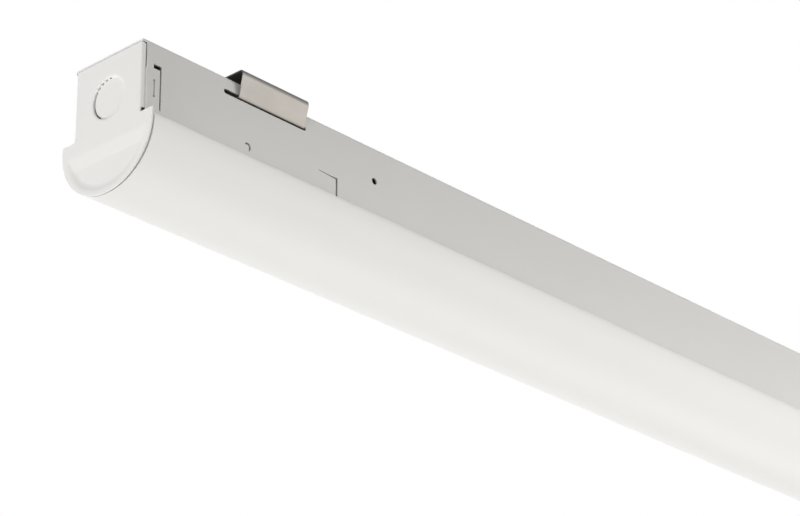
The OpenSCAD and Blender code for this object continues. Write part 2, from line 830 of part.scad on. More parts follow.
module disconnect_socket() {
    mouth = disconnect_x - plug_l + plug_nose - slide_gap;
    w = plug_w / 2 - plug_wall;
    z = web_top + plug_h / 2;
    color("white") translate([0, 0, lap_gap]) difference() {
        translate([mouth - socket_l, 0, web_top]) rounded_bar(socket_l, plug_w, plug_h);
        box_between([mouth - plug_nose - contact_len - slide_gap, -w, web_top + plug_wall],
            [mouth + cut, w, web_top + plug_h - plug_wall]);
        for (y = [-lead_y, lead_y]) translate([mouth - socket_l - cut, y, z]) rotate([0, 90, 0])
            cylinder(d = port_d, h = port_depth + cut);
    }
}

// Lens: crowned wall and flat shoulders under the channel
function shoulder(half, top, r, a0, a1) =
    [for (i = [0:fold_steps]) let (a = a0 + (a1 - a0) * i / fold_steps)
        [half - r + r * cos(a), top - r + r * sin(a)]];

function mirrored(p) = [for (q = reversed(p)) [-q[0], q[1]]];

module lens_section() {
    z = -channel_h - lens_straight;
    in_half = lens_half - lens_t;
    in_top = lens_top - lens_t;
    in_r = lens_shoulder_r - lens_t + fit_gap;
    right = concat([[leg_in, lens_top]], shoulder(lens_half, lens_top, lens_shoulder_r, 90, 0));
    left = mirrored(right);
    inner_right = concat([[leg_in, in_top]], shoulder(in_half, in_top, in_r, 90, 0));
    outer_crown = reversed(crown(lens_half, z, lens_crown - lens_inset));
    inner_crown = crown(in_half, z, lens_crown - lens_inset - lens_t);
    polygon(concat(right, outer_crown, left, reversed(mirrored(inner_right)), inner_crown,
        reversed(inner_right)));
}

module lens() {
    color(lens_shares) along_x(lens_start - half_len, half_len - lens_start) lens_section();
}

// Harder legs, extruded in one with the lens and cut back from the end plates' folds, that grip the tray
module lens_legs() {
    top = lens_top + leg_h;
    end = half_len - lens_start - leg_relief;
    color("white") both_sides() along_x(-end, end)
        polygon([[leg_in, lens_top], [leg_out, lens_top], [leg_out, top - leg_t],
            [(leg_in + leg_out) / 2, top], [leg_in, top]]);
}

channel();
end_plate_near();
end_plate_far();
ground_screw();
mounting_clip_near();
mounting_clip_far();
gear_tray();
led_board(0);  // led_board_1
led_board(1);  // led_board_2
led_board(2);  // led_board_3
led_board(3);  // led_board_4
led_chips(0);  // led_chips_1
led_chips(1);  // led_chips_2
led_chips(2);  // led_chips_3
led_chips(3);  // led_chips_4
board_connectors();
board_jumpers();
board_rivets();
tray_bushing();
driver_base();
driver_cover();
driver_screws();
driver_bushings();
line_lead_black();
line_lead_white();
output_lead_red();
output_lead_blue();
disconnect_plug();
disconnect_contacts();
disconnect_socket();
lens();
lens_legs();
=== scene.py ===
# %% [markdown]
# # A strip light, finished in Blender
#
# The fixture is a folded steel channel with a crowned opal lens under it. Its construction comes in as a
# fixed frame of plain solids. This script gives every surface its finish, models again what those solids
# leave plain, and lights the result. All lengths that are written here are millimetres, turned into
# Blender's metres by `MM`.

# %% Load the frame
import math

import bmesh
import bpy
from mathutils import Matrix, Quaternion, Vector


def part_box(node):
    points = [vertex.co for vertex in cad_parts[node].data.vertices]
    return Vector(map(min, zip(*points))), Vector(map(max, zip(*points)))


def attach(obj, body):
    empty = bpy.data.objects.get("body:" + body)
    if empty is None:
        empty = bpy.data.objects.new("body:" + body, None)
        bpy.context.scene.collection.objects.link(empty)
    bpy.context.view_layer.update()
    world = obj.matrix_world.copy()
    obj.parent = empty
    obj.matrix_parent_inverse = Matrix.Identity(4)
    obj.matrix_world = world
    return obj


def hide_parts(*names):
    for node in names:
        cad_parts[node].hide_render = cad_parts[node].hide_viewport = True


MM = 0.001
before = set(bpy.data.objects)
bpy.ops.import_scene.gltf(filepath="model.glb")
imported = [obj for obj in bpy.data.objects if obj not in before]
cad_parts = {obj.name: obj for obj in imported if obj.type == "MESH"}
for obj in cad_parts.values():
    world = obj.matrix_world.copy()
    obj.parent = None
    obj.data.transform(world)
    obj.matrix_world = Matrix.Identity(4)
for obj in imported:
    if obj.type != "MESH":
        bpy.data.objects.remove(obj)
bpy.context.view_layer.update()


# %% [markdown]
# ## The camera
#
# The photograph was taken from below the near end with a long lens, so the far end runs out of the
# picture with little perspective. The distance, the aim and the slight tilt were worked out from the
# outline of the end plate and the edges of the channel. A focal length in pixels becomes one in
# millimetres through the width of Blender's sensor.

# %% Place the camera
PICTURE_WIDTH_PX = 800
FOCAL_LENGTH_PX = 3025.9
SENSOR_WIDTH_MM = 36.0
EYE_MM = (-1361.3, -872.6, -643.3)
AIM_MM = (-450.5, -22.5, -50.5)
TILT_DEGREES = -0.495


def point(x, y, z):
    """A place given in millimetres, as Blender's metres."""
    return Vector((x, y, z)) * MM


def at(x, y, z):
    """A matrix that moves to a place given in millimetres."""
    return Matrix.Translation(point(x, y, z))


def add_to_scene(name, data):
    """A new object in the scene."""
    thing = bpy.data.objects.new(name, data)
    bpy.context.scene.collection.objects.link(thing)
    return thing


def turn_to(thing, place, aim):
    """Puts a camera or a lamp at place, upright and facing aim, both given in millimetres."""
    thing.location = point(*place)
    thing.rotation_mode = "QUATERNION"
    thing.rotation_quaternion = (point(*aim) - point(*place)).to_track_quat("-Z", "Y")


camera_data = bpy.data.cameras.new("camera")
camera_data.sensor_width = SENSOR_WIDTH_MM
camera_data.lens = FOCAL_LENGTH_PX / PICTURE_WIDTH_PX * SENSOR_WIDTH_MM
camera_data.clip_start, camera_data.clip_end = 0.1, 50
camera = add_to_scene("camera", camera_data)
turn_to(camera, EYE_MM, AIM_MM)
tilt = Quaternion((0, 0, 1), math.radians(TILT_DEGREES))
camera.rotation_quaternion = camera.rotation_quaternion @ tilt
bpy.context.scene.camera = camera
bpy.context.scene.view_settings.view_transform = "Standard"
print(f"lens {camera_data.lens:.1f} mm")


# %% [markdown]
# ## The studio
#
# White sheet metal on a white ground shows its shape only through soft differences of light, so the
# lamps are large and weak.
#
# - `end_light` and `end_low` face the near end. The second one comes from the lower left and turns the
#   pressed edges there dark or bright.
# - `side_far` stands along the side wall, which is why that wall grows lighter away from the camera.
#   `side_near` fills in the near end, and `wall_wash` lies close below the wall and lifts its lower part.
# - `low_strip` lies low along the fixture, and `low_back` lights the lens from the hidden side.
# - `back_top` and `far_end` are there for the views from behind and from past the far end.
#
# The world adds a weak fill. To the camera and to reflections it is plain white, through the Light Path
# node, and that adds no light to surfaces.

# %% Light the studio
# A lamp's place, what it faces, its two sides, its power in watts, its colour, and whether metal may
# mirror it.
FILL_STRENGTH = 0.24
FILL_COLOUR = (1, 0.985, 0.94)
NEUTRAL, WARM = (1, 1, 1), (1, 0.985, 0.95)
LAMPS = {
    "end_light": ((-2400, -500, -300), (-609, 0, -35), (1500, 1500), 11.9, NEUTRAL, False),
    "end_low": ((-2000, 1280, -1270), (-609, 0, -35), (900, 900), 39, NEUTRAL, False),
    "side_far": ((270, -920, -60), (0, -22, -20), (500, 500), 4.98, WARM, False),
    "side_near": ((-700, -1500, 0), (-450, -22, -18), (1200, 1200), 4.9, WARM, False),
    "wall_wash": ((50, -45, -58), (50, -22.5, -30), (1300, 40), 0.0585, WARM, False),
    "low_strip": ((200, 60, -850), (200, 61, -60), (2600, 600), 4.4, WARM, True),
    "low_back": ((-200, 900, -800), (-200, 0, -60), (1500, 1000), 7.1, WARM, False),
    "back_top": ((300, 1300, 1700), (0, 0, -20), (1800, 1800), 12, NEUTRAL, False),
    "far_end": ((2300, 900, -900), (609, 0, -35), (1100, 1100), 24, NEUTRAL, False),
}


def studio_lamp(name, place, aim, size, watts, colour, reflected):
    """A rectangular area lamp at place that faces aim. Only its reflections may be seen."""
    lamp = bpy.data.lights.new(name, "AREA")
    lamp.shape = "RECTANGLE"
    lamp.size, lamp.size_y = (side * MM for side in size)
    lamp.energy = watts
    lamp.color = colour
    stand = add_to_scene(name, lamp)
    turn_to(stand, place, aim)
    stand.visible_camera = False
    stand.visible_glossy = reflected


def white_rays(nodes, links):
    """An output that is 1 for camera, glossy and transmission rays, which see the ground as white."""
    ray = nodes.new("ShaderNodeLightPath")
    found = ray.outputs["Is Camera Ray"]
    for kind in ("Is Glossy Ray", "Is Transmission Ray"):
        either = nodes.new("ShaderNodeMath")
        either.operation = "MAXIMUM"
        links.new(found, either.inputs[0])
        links.new(ray.outputs[kind], either.inputs[1])
        found = either.outputs["Value"]
    return found


def mix_shaders(nodes, links, share, first, second):
    """A shader that is the first one where the share is 0, and the second one where it is 1."""
    mix = nodes.new("ShaderNodeMixShader")
    for source, socket in ((share, 0), (first, 1), (second, 2)):
        links.new(source, mix.inputs[socket])
    return mix.outputs["Shader"]


for lamp_name, lamp_facts in LAMPS.items():
    studio_lamp(lamp_name, *lamp_facts)

world = bpy.data.worlds.new("studio")
world.use_nodes = True
bpy.context.scene.world = world
nodes, links = world.node_tree.nodes, world.node_tree.links
fill = nodes["Background"]
fill.inputs["Color"].default_value = (*FILL_COLOUR, 1)
fill.inputs["Strength"].default_value = FILL_STRENGTH
white = nodes.new("ShaderNodeBackground")
white.inputs["Color"].default_value = (1, 1, 1, 1)
seen = mix_shaders(nodes, links, white_rays(nodes, links), fill.outputs["Background"],
                   white.outputs["Background"])
links.new(seen, nodes["World Output"].inputs["Surface"])
print("lamps:", ", ".join(LAMPS))


# %% [markdown]
# ## The floor
#
# A pale floor well below the fixture gives the views from above something to stand over. The camera and
# reflections see it mixed with plain white. The share of white grows with the distance from the middle
# until it is all white, as on a studio's paper sweep, so the floor has no visible end. Views from below
# it see through it, by the Backfacing output.

# %% Lay the floor
FLOOR_Z_MM = -1500
FLOOR_HALF_MM = 20000
WHITE_NEAR_MM, WHITE_FAR_MM = 3000, 14000
WHITE_SHARE_NEAR, WHITE_SHARE_FAR = 0.62, 1
FLOOR_COLOUR, FLOOR_ROUGHNESS = (0.93, 0.93, 0.93), 0.9


def spread_values(nodes, links, source, low, high, start, end):
    """A node that spreads the source's values from start to end evenly from low to high."""
    ramp = nodes.new("ShaderNodeMapRange")
    for socket, value in zip(("From Min", "From Max", "To Min", "To Max"), (start, end, low, high)):
        ramp.inputs[socket].default_value = value
    links.new(source, ramp.inputs["Value"])
    return ramp


def mesh_of(bm, name):
    """A mesh with that name, made of the bmesh, which is used up."""
    mesh = bpy.data.meshes.new(name)
    bm.to_mesh(mesh)
    bm.free()
    return mesh


bm = bmesh.new()
bmesh.ops.create_grid(bm, x_segments=1, y_segments=1, size=FLOOR_HALF_MM * MM)
bmesh.ops.translate(bm, vec=point(0, 0, FLOOR_Z_MM), verts=bm.verts)
floor = add_to_scene("floor", mesh_of(bm, "floor"))
floor_paint = bpy.data.materials.new("floor")
floor_paint.use_nodes = True
nodes, links = floor_paint.node_tree.nodes, floor_paint.node_tree.links
matt = nodes["Principled BSDF"]
matt.inputs["Base Color"].default_value = (*FLOOR_COLOUR, 1)
matt.inputs["Roughness"].default_value = FLOOR_ROUGHNESS
whitened = nodes.new("ShaderNodeMath")
whitened.operation = "MULTIPLY"
middle = nodes.new("ShaderNodeTexCoord")
away = nodes.new("ShaderNodeVectorMath")
away.operation = "LENGTH"
fade = spread_values(nodes, links, away.outputs["Value"], WHITE_SHARE_NEAR, WHITE_SHARE_FAR,
                     WHITE_NEAR_MM * MM, WHITE_FAR_MM * MM)
fade.interpolation_type = "SMOOTHSTEP"
paper = nodes.new("ShaderNodeEmission")
side = nodes.new("ShaderNodeNewGeometry")
clear = nodes.new("ShaderNodeBsdfTransparent")
links.new(middle.outputs["Object"], away.inputs[0])
links.new(white_rays(nodes, links), whitened.inputs[0])
links.new(fade.outputs["Result"], whitened.inputs[1])
ground = mix_shaders(nodes, links, whitened.outputs["Value"], matt.outputs["BSDF"],
                     paper.outputs["Emission"])
one_sided = mix_shaders(nodes, links, side.outputs["Backfacing"], ground, clear.outputs["BSDF"])
links.new(one_sided, nodes["Material Output"].inputs["Surface"])
floor.data.materials.append(floor_paint)
print("floor at", FLOOR_Z_MM, "mm")


# %% [markdown]
# ## Finishes
#
# Every finish is one Principled shader with patterns of noise on it. The patterns are laid out on Object
# coordinates, which stay with a piece when it moves, and their sizes are given in millimetres. A small
# class keeps that in one place, and a finish then reads as a few lines.

# %% A class for finishes
class Finish:
    """One Principled shader, and patterns laid out on the piece in millimetres."""

    def __init__(self, name, colour, roughness, **sockets):
        self.material = bpy.data.materials.new(name)
        self.material.use_nodes = True
        self.nodes = self.material.node_tree.nodes
        self.links = self.material.node_tree.links
        self.shader = self.nodes["Principled BSDF"]
        self.shader.inputs["Base Color"].default_value = (*colour, 1)
        self.shader.inputs["Roughness"].default_value = roughness
        for socket, value in sockets.items():
            self.shader.inputs[socket.replace("_", " ")].default_value = value
        self.last_bump = None

    def noise(self, size, stretch=(1, 1, 1), detail=3):
        """Soft patches about size across, drawn out along the axes whose stretch is above 1."""
        place = self.nodes.new("ShaderNodeTexCoord")
        scale = self.nodes.new("ShaderNodeMapping")
        scale.inputs["Scale"].default_value = [1 / (MM * size * s) for s in stretch]
        pattern = self.nodes.new("ShaderNodeTexNoise")
        pattern.inputs["Scale"].default_value = 1
        pattern.inputs["Detail"].default_value = detail
        self.links.new(place.outputs["Object"], scale.inputs["Vector"])
        self.links.new(scale.outputs["Vector"], pattern.inputs["Vector"])
        return pattern.outputs["Fac"]

    def spread(self, pattern, low, high, start=0.25, end=0.75):
        """The pattern's values from start to end, spread evenly from low to high."""
        return spread_values(self.nodes, self.links, pattern, low, high, start, end).outputs["Result"]

    def recolour(self, share, colour, blend="MIX"):
        """Mixes a colour into the base colour by the share. Returns the node that mixes."""
        mix = self.nodes.new("ShaderNodeMix")
        mix.data_type, mix.blend_type = "RGBA", blend
        mix.inputs["B"].default_value = (*colour, 1)
        self.links.new(share, mix.inputs["Factor"])
        self.links.new(mix.outputs["Result"], self.shader.inputs["Base Color"])
        return mix

    def tint(self, pattern, dark, light):
        """Base colour that goes from dark to light with a pattern of noise."""
        self.recolour(self.spread(pattern, 0, 1), light).inputs["A"].default_value = (*dark, 1)

    def darken(self, share, shade):
        """Paints shade: multiplies the colour given by tint by the shade, where the share is 1."""
        before = self.shader.inputs["Base Color"].links[0].from_socket
        self.links.new(before, self.recolour(share, [shade] * 3, "MULTIPLY").inputs["A"])

    def drive(self, socket, values):
        """Gives a socket of the shader its values from a pattern."""
        self.links.new(values, self.shader.inputs[socket])

    def sheen_of(self, pattern, low, high):
        """Roughness that goes from low to high with a pattern of noise."""
        self.drive("Roughness", self.spread(pattern, low, high))

    def height(self):
        """The height along Z on the piece, in metres."""
        place = self.nodes.new("ShaderNodeTexCoord")
        parts = self.nodes.new("ShaderNodeSeparateXYZ")
        self.links.new(place.outputs["Object"], parts.inputs["Vector"])
        return parts.outputs["Z"]

    def bump(self, pattern, depth):
        """Relief of that depth in millimetres, on top of any relief given before."""
        relief = self.nodes.new("ShaderNodeBump")
        relief.inputs["Distance"].default_value = depth * MM
        self.links.new(pattern, relief.inputs["Height"])
        if self.last_bump:
            self.links.new(self.last_bump, relief.inputs["Normal"])
        self.last_bump = relief.outputs["Normal"]
        self.drive("Normal", self.last_bump)


# %% [markdown]
# ## Powder paint
#
# The channel and the end plates carry one coat of white powder paint. Close up it has a faint orange
# peel, a satin gloss that varies a little, and almost no change of colour.

# %% Paint
paint = Finish("powder_paint", (0.8, 0.797, 0.785), 0.42)
paint.tint(paint.noise(60, detail=2), (0.79, 0.787, 0.775), (0.81, 0.807, 0.797))
paint.sheen_of(paint.noise(9), 0.38, 0.48)
paint.bump(paint.noise(1.6, detail=2), 0.012)
print("finish:", paint.material.name)


# %% [markdown]
# ## From bmesh to piece
#
# Each piece starts as a bmesh, is shaded smooth except across edges that stay sharp, and keeps its flat
# faces flat by weighted normals. It then rides on a body of the frame and stands for the plain solids
# that it replaces.

# %% Finish a piece
SHARP_DEGREES = 50


def make_piece(bm, name, body, node, slot, *finishes):
    """Turns a bmesh into a finished piece that rides on a body and stands for a CAD node."""
    mesh = mesh_of(bm, name)
    for finish in finishes:
        mesh.materials.append(finish.material)
    mesh.shade_smooth()
    mesh.set_sharp_from_angle(angle=math.radians(SHARP_DEGREES))
    piece = add_to_scene(name, mesh)
    weights = piece.modifiers.new("flat_faces", "WEIGHTED_NORMAL")
    weights.keep_sharp = True
    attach(piece, body)
    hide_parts(node)
    print(f"{name}: {len(mesh.vertices)} points, {len(mesh.polygons)} faces")
    return piece


# %% [markdown]
# ## Folded sheet metal
#
# The solids of the sheet metal have the right folds and cuts, but every cut edge is a perfect corner.
# Real cut edges catch a thin line of light. A copy of the solid has its points merged and its flat faces
# joined, and then a narrow bevel runs along each sharp edge. Pieces that are modelled from nothing get
# their bevel in the same way.

# %% Soften a copy of a solid
WELD_MM = 0.001
FLAT_DEGREES = 0.3
CORNER_DEGREES = 40
SHEET_EDGE_MM = 0.12


def cad_box_mm(node):
    """The two corners of a CAD node, in millimetres."""
    return [list(corner / MM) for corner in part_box(node)]


def turn_at(edge):
    """The angle in degrees between the two faces at an edge, and 0 at an open edge."""
    return math.degrees(edge.calc_face_angle(0)) if edge.is_manifold else 0


def round_edges(bm, edges, width, steps=2):
    """Rounds the edges by a bevel of that width in millimetres."""
    bmesh.ops.bevel(bm, geom=list(edges), affect="EDGES", offset=width * MM, segments=steps,
                    profile=0.5, material=-1, clamp_overlap=True)


def soften(bm, width, steps=2):
    """Rounds every sharp corner."""
    round_edges(bm, [e for e in bm.edges if turn_at(e) > CORNER_DEGREES], width, steps)


def join_flat(bm):
    """Joins faces that lie in one plane."""
    bmesh.ops.dissolve_limit(bm, angle_limit=math.radians(FLAT_DEGREES), verts=bm.verts, edges=bm.edges)


def plain_copy(node):
    """A bmesh copy of a CAD node, with its points merged and its flat faces joined."""
    bm = bmesh.new()
    bm.from_mesh(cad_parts[node].data)
    bmesh.ops.remove_doubles(bm, verts=bm.verts, dist=WELD_MM * MM)
    join_flat(bm)
    return bm


def soft_piece(name, body, node, slot, finish, width, steps=2):
    """A finished piece that is a copy of a CAD node with rounded corners."""
    bm = plain_copy(node)
    soften(bm, width, steps)
    make_piece(bm, name, body, node, slot, finish)


# %% [markdown]
# ## The channel
#
# The corners of the channel's back are cut, as they are on a folded sheet. Three of its punchings are
# then brought closer to the real ones, by moving points of the copy: the seam beside each end plate's
# fold is narrower, the sheared lip of each dimple stands back from its hole, and the slit around each
# spring tab is finer.

# %% Channel
NEAR_MM = 0.01
CORNER_CUT_MM = 1.2
SEAM_X_MM, SEAM_CLOSE_MM = 607.1, 0.3
DIMPLE_X_MM, DIMPLE_Z_MM = 547.6, -29.8
LIP_RADIUS_MM, LIP_BACK_MM = 1.7, 0.25
TAB_FREE_X_MM, TAB_ROOT_X_MM, TAB_TOP_MM = 491.8, 503.8, -25.4
TAB_OUT_MM, TAB_UP_MM = 0.35, 0.45
WALL_Y_MM = 20


def cut_corner(bm, side_x, side_y):
    """Cuts the upright corner of the channel's back at one end and side."""
    cut = bmesh.ops.bisect_plane(
        bm, geom=bm.verts[:] + bm.edges[:] + bm.faces[:], clear_outer=True,
        plane_co=point(side_x * channel_high[0], side_y * (channel_high[1] - CORNER_CUT_MM), 0),
        plane_no=(side_x, side_y, 0))["geom_cut"]
    bmesh.ops.holes_fill(bm, edges=[e for e in cut if isinstance(e, bmesh.types.BMEdge)])


def near(length, other):
    """Whether two lengths in millimetres are as good as the same."""
    return abs(length - other) < NEAR_MM


def close_seam(v):
    """Moves a point of the seam beside an end plate's fold outward."""
    if near(abs(v.co.x) / MM, SEAM_X_MM):
        v.co.x += math.copysign(SEAM_CLOSE_MM * MM, v.co.x)


def open_dimple(v):
    """Moves a point of a dimple's sheared lip toward the dimple's middle."""
    across = Vector((abs(v.co.x) / MM - DIMPLE_X_MM, v.co.z / MM - DIMPLE_Z_MM))
    if near(across.length, LIP_RADIUS_MM):
        across *= 1 - LIP_BACK_MM / LIP_RADIUS_MM
        v.co.x = math.copysign((DIMPLE_X_MM + across.x) * MM, v.co.x)
        v.co.z = (DIMPLE_Z_MM + across.y) * MM


def grow_tab(v):
    """Moves a point of a spring tab's free edges out into the slit."""
    along = abs(v.co.x) / MM
    if abs(v.co.y) < WALL_Y_MM * MM or not TAB_FREE_X_MM - NEAR_MM < along < TAB_ROOT_X_MM + NEAR_MM:
        return
    if near(v.co.z / MM, TAB_TOP_MM):
        v.co.z += TAB_UP_MM * MM
    if near(along, TAB_FREE_X_MM):
        v.co.x -= math.copysign(TAB_OUT_MM * MM, v.co.x)


channel_high = cad_box_mm("channel")[1]
bm = plain_copy("channel")
for side_x in (-1, 1):
    for side_y in (-1, 1):
        cut_corner(bm, side_x, side_y)
for v in bm.verts:
    close_seam(v)
    open_dimple(v)
    grow_tab(v)
soften(bm, SHEET_EDGE_MM)
channel = make_piece(bm, "channel_folded", "housing", "channel", "painted_steel", paint)


# %% [markdown]
# ## The end plates
#
# A half sheared knockout isn't a clean step. The punch draws the plate in round the slug before the metal
# parts, so the rim rolls inward. A few planes cut rings into the wall of the pocket, and each ring moves
# in along a quarter ellipse, with the slug pushed a little deeper. The light from the lower left then
# gives the roll its dark and bright sides. The recess below has slopes of one width all around in the
# solid. The press drew it out more gently along its straight top, so the top of its floor moves down and
# in, and wide bevels then smooth both its creases.

# %% End plates
RECESS_TOP_MM = -42
CREASE_DEGREES = (4, 30)
RECESS_STEP_MM, RECESS_DEPTH_MM = 0.05, 0.8
RECESS_STRETCH = 1.045
FLOOR_DROP_MM, FLOOR_SQUEEZE = 3.5, 0.1
CREASE_WIDTH_MM, CREASE_STEPS = 1.25, 4
FACING = 0.9


def depth_in(v, front, inward):
    """How far a point lies behind the front of a plate whose back lies inward, in millimetres."""
    return (v.co.x / MM - front) * inward


def in_recess(edge):
    """Whether an edge is a crease of the pressed recess in an end plate."""
    a, b = (v.co for v in edge.verts)
    level = max(a.z, b.z) < RECESS_TOP_MM * MM and abs(a.x - b.x) < RECESS_STEP_MM * MM
    return level and CREASE_DEGREES[0] < turn_at(edge) < CREASE_DEGREES[1]


def close_step(bm, front, inward):
    """Closes the fine step around the recess."""
    low = [v for v in bm.verts if v.co.z < RECESS_TOP_MM * MM]
    for v in low:
        if abs(depth_in(v, front, inward) % RECESS_DEPTH_MM - RECESS_STEP_MM) < WELD_MM:
            v.co.x -= inward * RECESS_STEP_MM * MM
    bmesh.ops.remove_doubles(bm, verts=low, dist=WELD_MM * MM)
    bm.normal_update()


def stretch_recess(bm):
    """Reaches the recess a little lower."""
    around = {v for e in bm.edges if in_recess(e) for v in e.verts}
    top = max(v.co.z for v in around)
    for v in around:
        v.co.z = top + (v.co.z - top) * RECESS_STRETCH


def slope_top(bm, front, inward):
    """Moves the top of the recess's floor down and in, so that the slope above it is gentler."""
    floor_points = set()
    for face in bm.faces:
        depth = min(depth_in(v, front, inward) for v in face.verts)
        faces_out = face.normal.x * inward < -FACING and depth > RECESS_DEPTH_MM - WELD_MM
        is_back = depth > 2 * RECESS_DEPTH_MM - WELD_MM
        if (faces_out or is_back) and face.calc_center_median().z < RECESS_TOP_MM * MM:
            floor_points.update(face.verts)
    bottom, top = min(v.co.z for v in floor_points), max(v.co.z for v in floor_points)
    for v in floor_points:
        share = (v.co.z - bottom) / (top - bottom)
        v.co.z -= share * FLOOR_DROP_MM * MM
        v.co.y *= 1 - share * FLOOR_SQUEEZE
    bm.normal_update()


# %% The knockout's rim
KNOCKOUT_Z_MM = -20.8
KNOCKOUT_RADIUS_MM = 11.1
SLUG_DEPTH_MM, SLUG_PUSH_MM = 0.4, 0.55
SLUG_SHARE = 0.9
SLIT_MM = 0.7
ROLL_MM = 1.3
ROLL_RINGS_MM = (0.02, 0.06, 0.12, 0.2, 0.3)


def touching(points):
    """The points, and every edge and face that touches one of them."""
    edges, faces = {e for v in points for e in v.link_edges}, {f for v in points for f in v.link_faces}
    return [*points, *edges, *faces]


def from_knockout(v):
    """A point's place across the knockout, counted from its centre."""
    return Vector((v.co.y, v.co.z - KNOCKOUT_Z_MM * MM)) / MM


def roll_rim(bm, front, inward):
    """Draws the knockout's rim in and pushes its slug deeper."""
    reach = KNOCKOUT_RADIUS_MM + 0.5 * SLIT_MM
    for depth in ROLL_RINGS_MM:
        inside = [v for v in bm.verts if from_knockout(v).length < reach]
        bmesh.ops.bisect_plane(bm, geom=touching(inside), plane_no=(1, 0, 0),
                               plane_co=point(front + inward * depth, 0, 0))
    for v in bm.verts:
        across = from_knockout(v)
        depth = min(depth_in(v, front, inward) / SLUG_DEPTH_MM, 1)
        if depth > SLUG_SHARE and across.length < KNOCKOUT_RADIUS_MM + SLIT_MM:
            v.co.x += inward * SLUG_PUSH_MM * MM
        if abs(across.length - KNOCKOUT_RADIUS_MM) < SLIT_MM:
            across *= 1 - ROLL_MM * math.sqrt(max(1 - (1 - depth) ** 2, 0)) / across.length
            v.co.y, v.co.z = across.x * MM, (across.y + KNOCKOUT_Z_MM) * MM


plates = []
for end, inward in (("near", 1), ("far", -1)):
    plate_low, plate_high = cad_box_mm(f"end_plate_{end}")
    front = plate_low[0] if inward > 0 else plate_high[0]
    bm = plain_copy(f"end_plate_{end}")
    close_step(bm, front, inward)
    stretch_recess(bm)
    slope_top(bm, front, inward)
    round_edges(bm, [e for e in bm.edges if in_recess(e)], CREASE_WIDTH_MM, CREASE_STEPS)
    roll_rim(bm, front, inward)
    soften(bm, SHEET_EDGE_MM)
    plates.append(make_piece(bm, f"end_plate_pressed_{end}", "housing", f"end_plate_{end}",
                             "painted_steel", paint))


# %% [markdown]
# ## The lens
#
# The lens is an extrusion in opal acrylic, a crown between two shoulders that are rounded outside and
# flat above. Half of its outline is spun from one point: a quarter circle, squeezed into the quarter
# ellipse of the crown, and then the round of the shoulder. Mirroring completes the outline, pulling it
# along the fixture makes a skin, and solidify gives the skin its wall.

# %% Lens
LENS_END_MM = cad_box_mm("lens")[1][0]
LENS_HALF_MM, LENS_TOP_MM, LENS_WALL_MM = 28.3, -35.8, 2
SHOULDER_RADIUS_MM, SHOULDER_REACH_MM = 4.6, 19.4
CROWN_TOP_MM = LENS_TOP_MM - SHOULDER_RADIUS_MM
CROWN_DEPTH_MM = 25.8
CROWN_STEPS, SHOULDER_STEPS = 28, 8
LENS_EDGE_MM, LENS_EDGE_STEPS = 0.25, 3


def points_in(geom):
    """The points among what a bmesh operator gave back."""
    return [v for v in geom if isinstance(v, bmesh.types.BMVert)]


def thick_skin(bm, length, wall):
    """Mirrors half an outline, pulls it along the fixture, and gives the skin a wall inward."""
    bmesh.ops.mirror(bm, geom=bm.verts[:] + bm.edges[:], axis="Y", merge_dist=WELD_MM * MM)
    pulled = bmesh.ops.extrude_edge_only(bm, edges=bm.edges[:])["geom"]
    bmesh.ops.translate(bm, vec=point(length, 0, 0), verts=points_in(pulled))
    bmesh.ops.recalc_face_normals(bm, faces=bm.faces)
    centre = sum((v.co for v in bm.verts), Vector()) / len(bm.verts)
    if sum(f.normal.dot(f.calc_center_median() - centre) * f.calc_area() for f in bm.faces) < 0:
        bmesh.ops.reverse_faces(bm, faces=bm.faces)
    bmesh.ops.solidify(bm, geom=bm.faces[:], thickness=wall * MM)


opal = Finish("opal_acrylic", (0.88, 0.883, 0.88), 0.36)
opal.bump(opal.noise(2.2, (80, 1, 1), 2), 0.004)
opal.sheen_of(opal.noise(14, (6, 1, 1)), 0.38, 0.46)

bm = bmesh.new()
crown = bm.verts.new(point(-LENS_END_MM, 0, -LENS_HALF_MM))
bmesh.ops.spin(bm, geom=[crown], cent=point(-LENS_END_MM, 0, 0), axis=(1, 0, 0), angle=math.pi / 2,
               steps=CROWN_STEPS, use_merge=False)
bmesh.ops.scale(bm, vec=(1, 1, CROWN_DEPTH_MM / LENS_HALF_MM), verts=bm.verts)
bmesh.ops.translate(bm, vec=point(0, 0, CROWN_TOP_MM), verts=bm.verts)
crown_end = max(bm.verts, key=lambda v: v.co.z)
bmesh.ops.spin(bm, geom=[crown_end], axis=(1, 0, 0), angle=math.pi / 2, steps=SHOULDER_STEPS,
               cent=point(-LENS_END_MM, LENS_HALF_MM - SHOULDER_RADIUS_MM, CROWN_TOP_MM), use_merge=False)
shoulder_end = max(bm.verts, key=lambda v: v.co.z)
bm.edges.new((shoulder_end, bm.verts.new(point(-LENS_END_MM, SHOULDER_REACH_MM, LENS_TOP_MM))))
thick_skin(bm, 2 * LENS_END_MM, LENS_WALL_MM)
soften(bm, LENS_EDGE_MM, LENS_EDGE_STEPS)
lens = make_piece(bm, "lens_opal", "lens", "lens", "lens_plastic", opal)


# %% [markdown]
# ## Which lamp lights which piece
#
# A photographer shades a lamp with black cards, so that it falls on one part of the object only. Light
# linking does that here: five lamps light only the pieces that are named for them. `wall_wash` stands so
# close below the channel that the lens's shoulder would hide it, so nothing but the channel casts a
# shadow in its light.

# %% Link the lamps
LIT = {
    "end_low": plates + [channel],
    "far_end": plates + [channel],
    "wall_wash": [channel],
    "side_near": plates + [lens],
    "low_back": [lens],
}

for lamp_name, pieces in LIT.items():
    lit = bpy.data.collections.new(lamp_name)
    for piece in pieces:
        lit.objects.link(piece)
    bpy.data.objects[lamp_name].light_linking.receiver_collection = lit
wash_links = bpy.data.objects["wall_wash"].light_linking
wash_links.blocker_collection = wash_links.receiver_collection
print("linked lamps:", ", ".join(LIT))


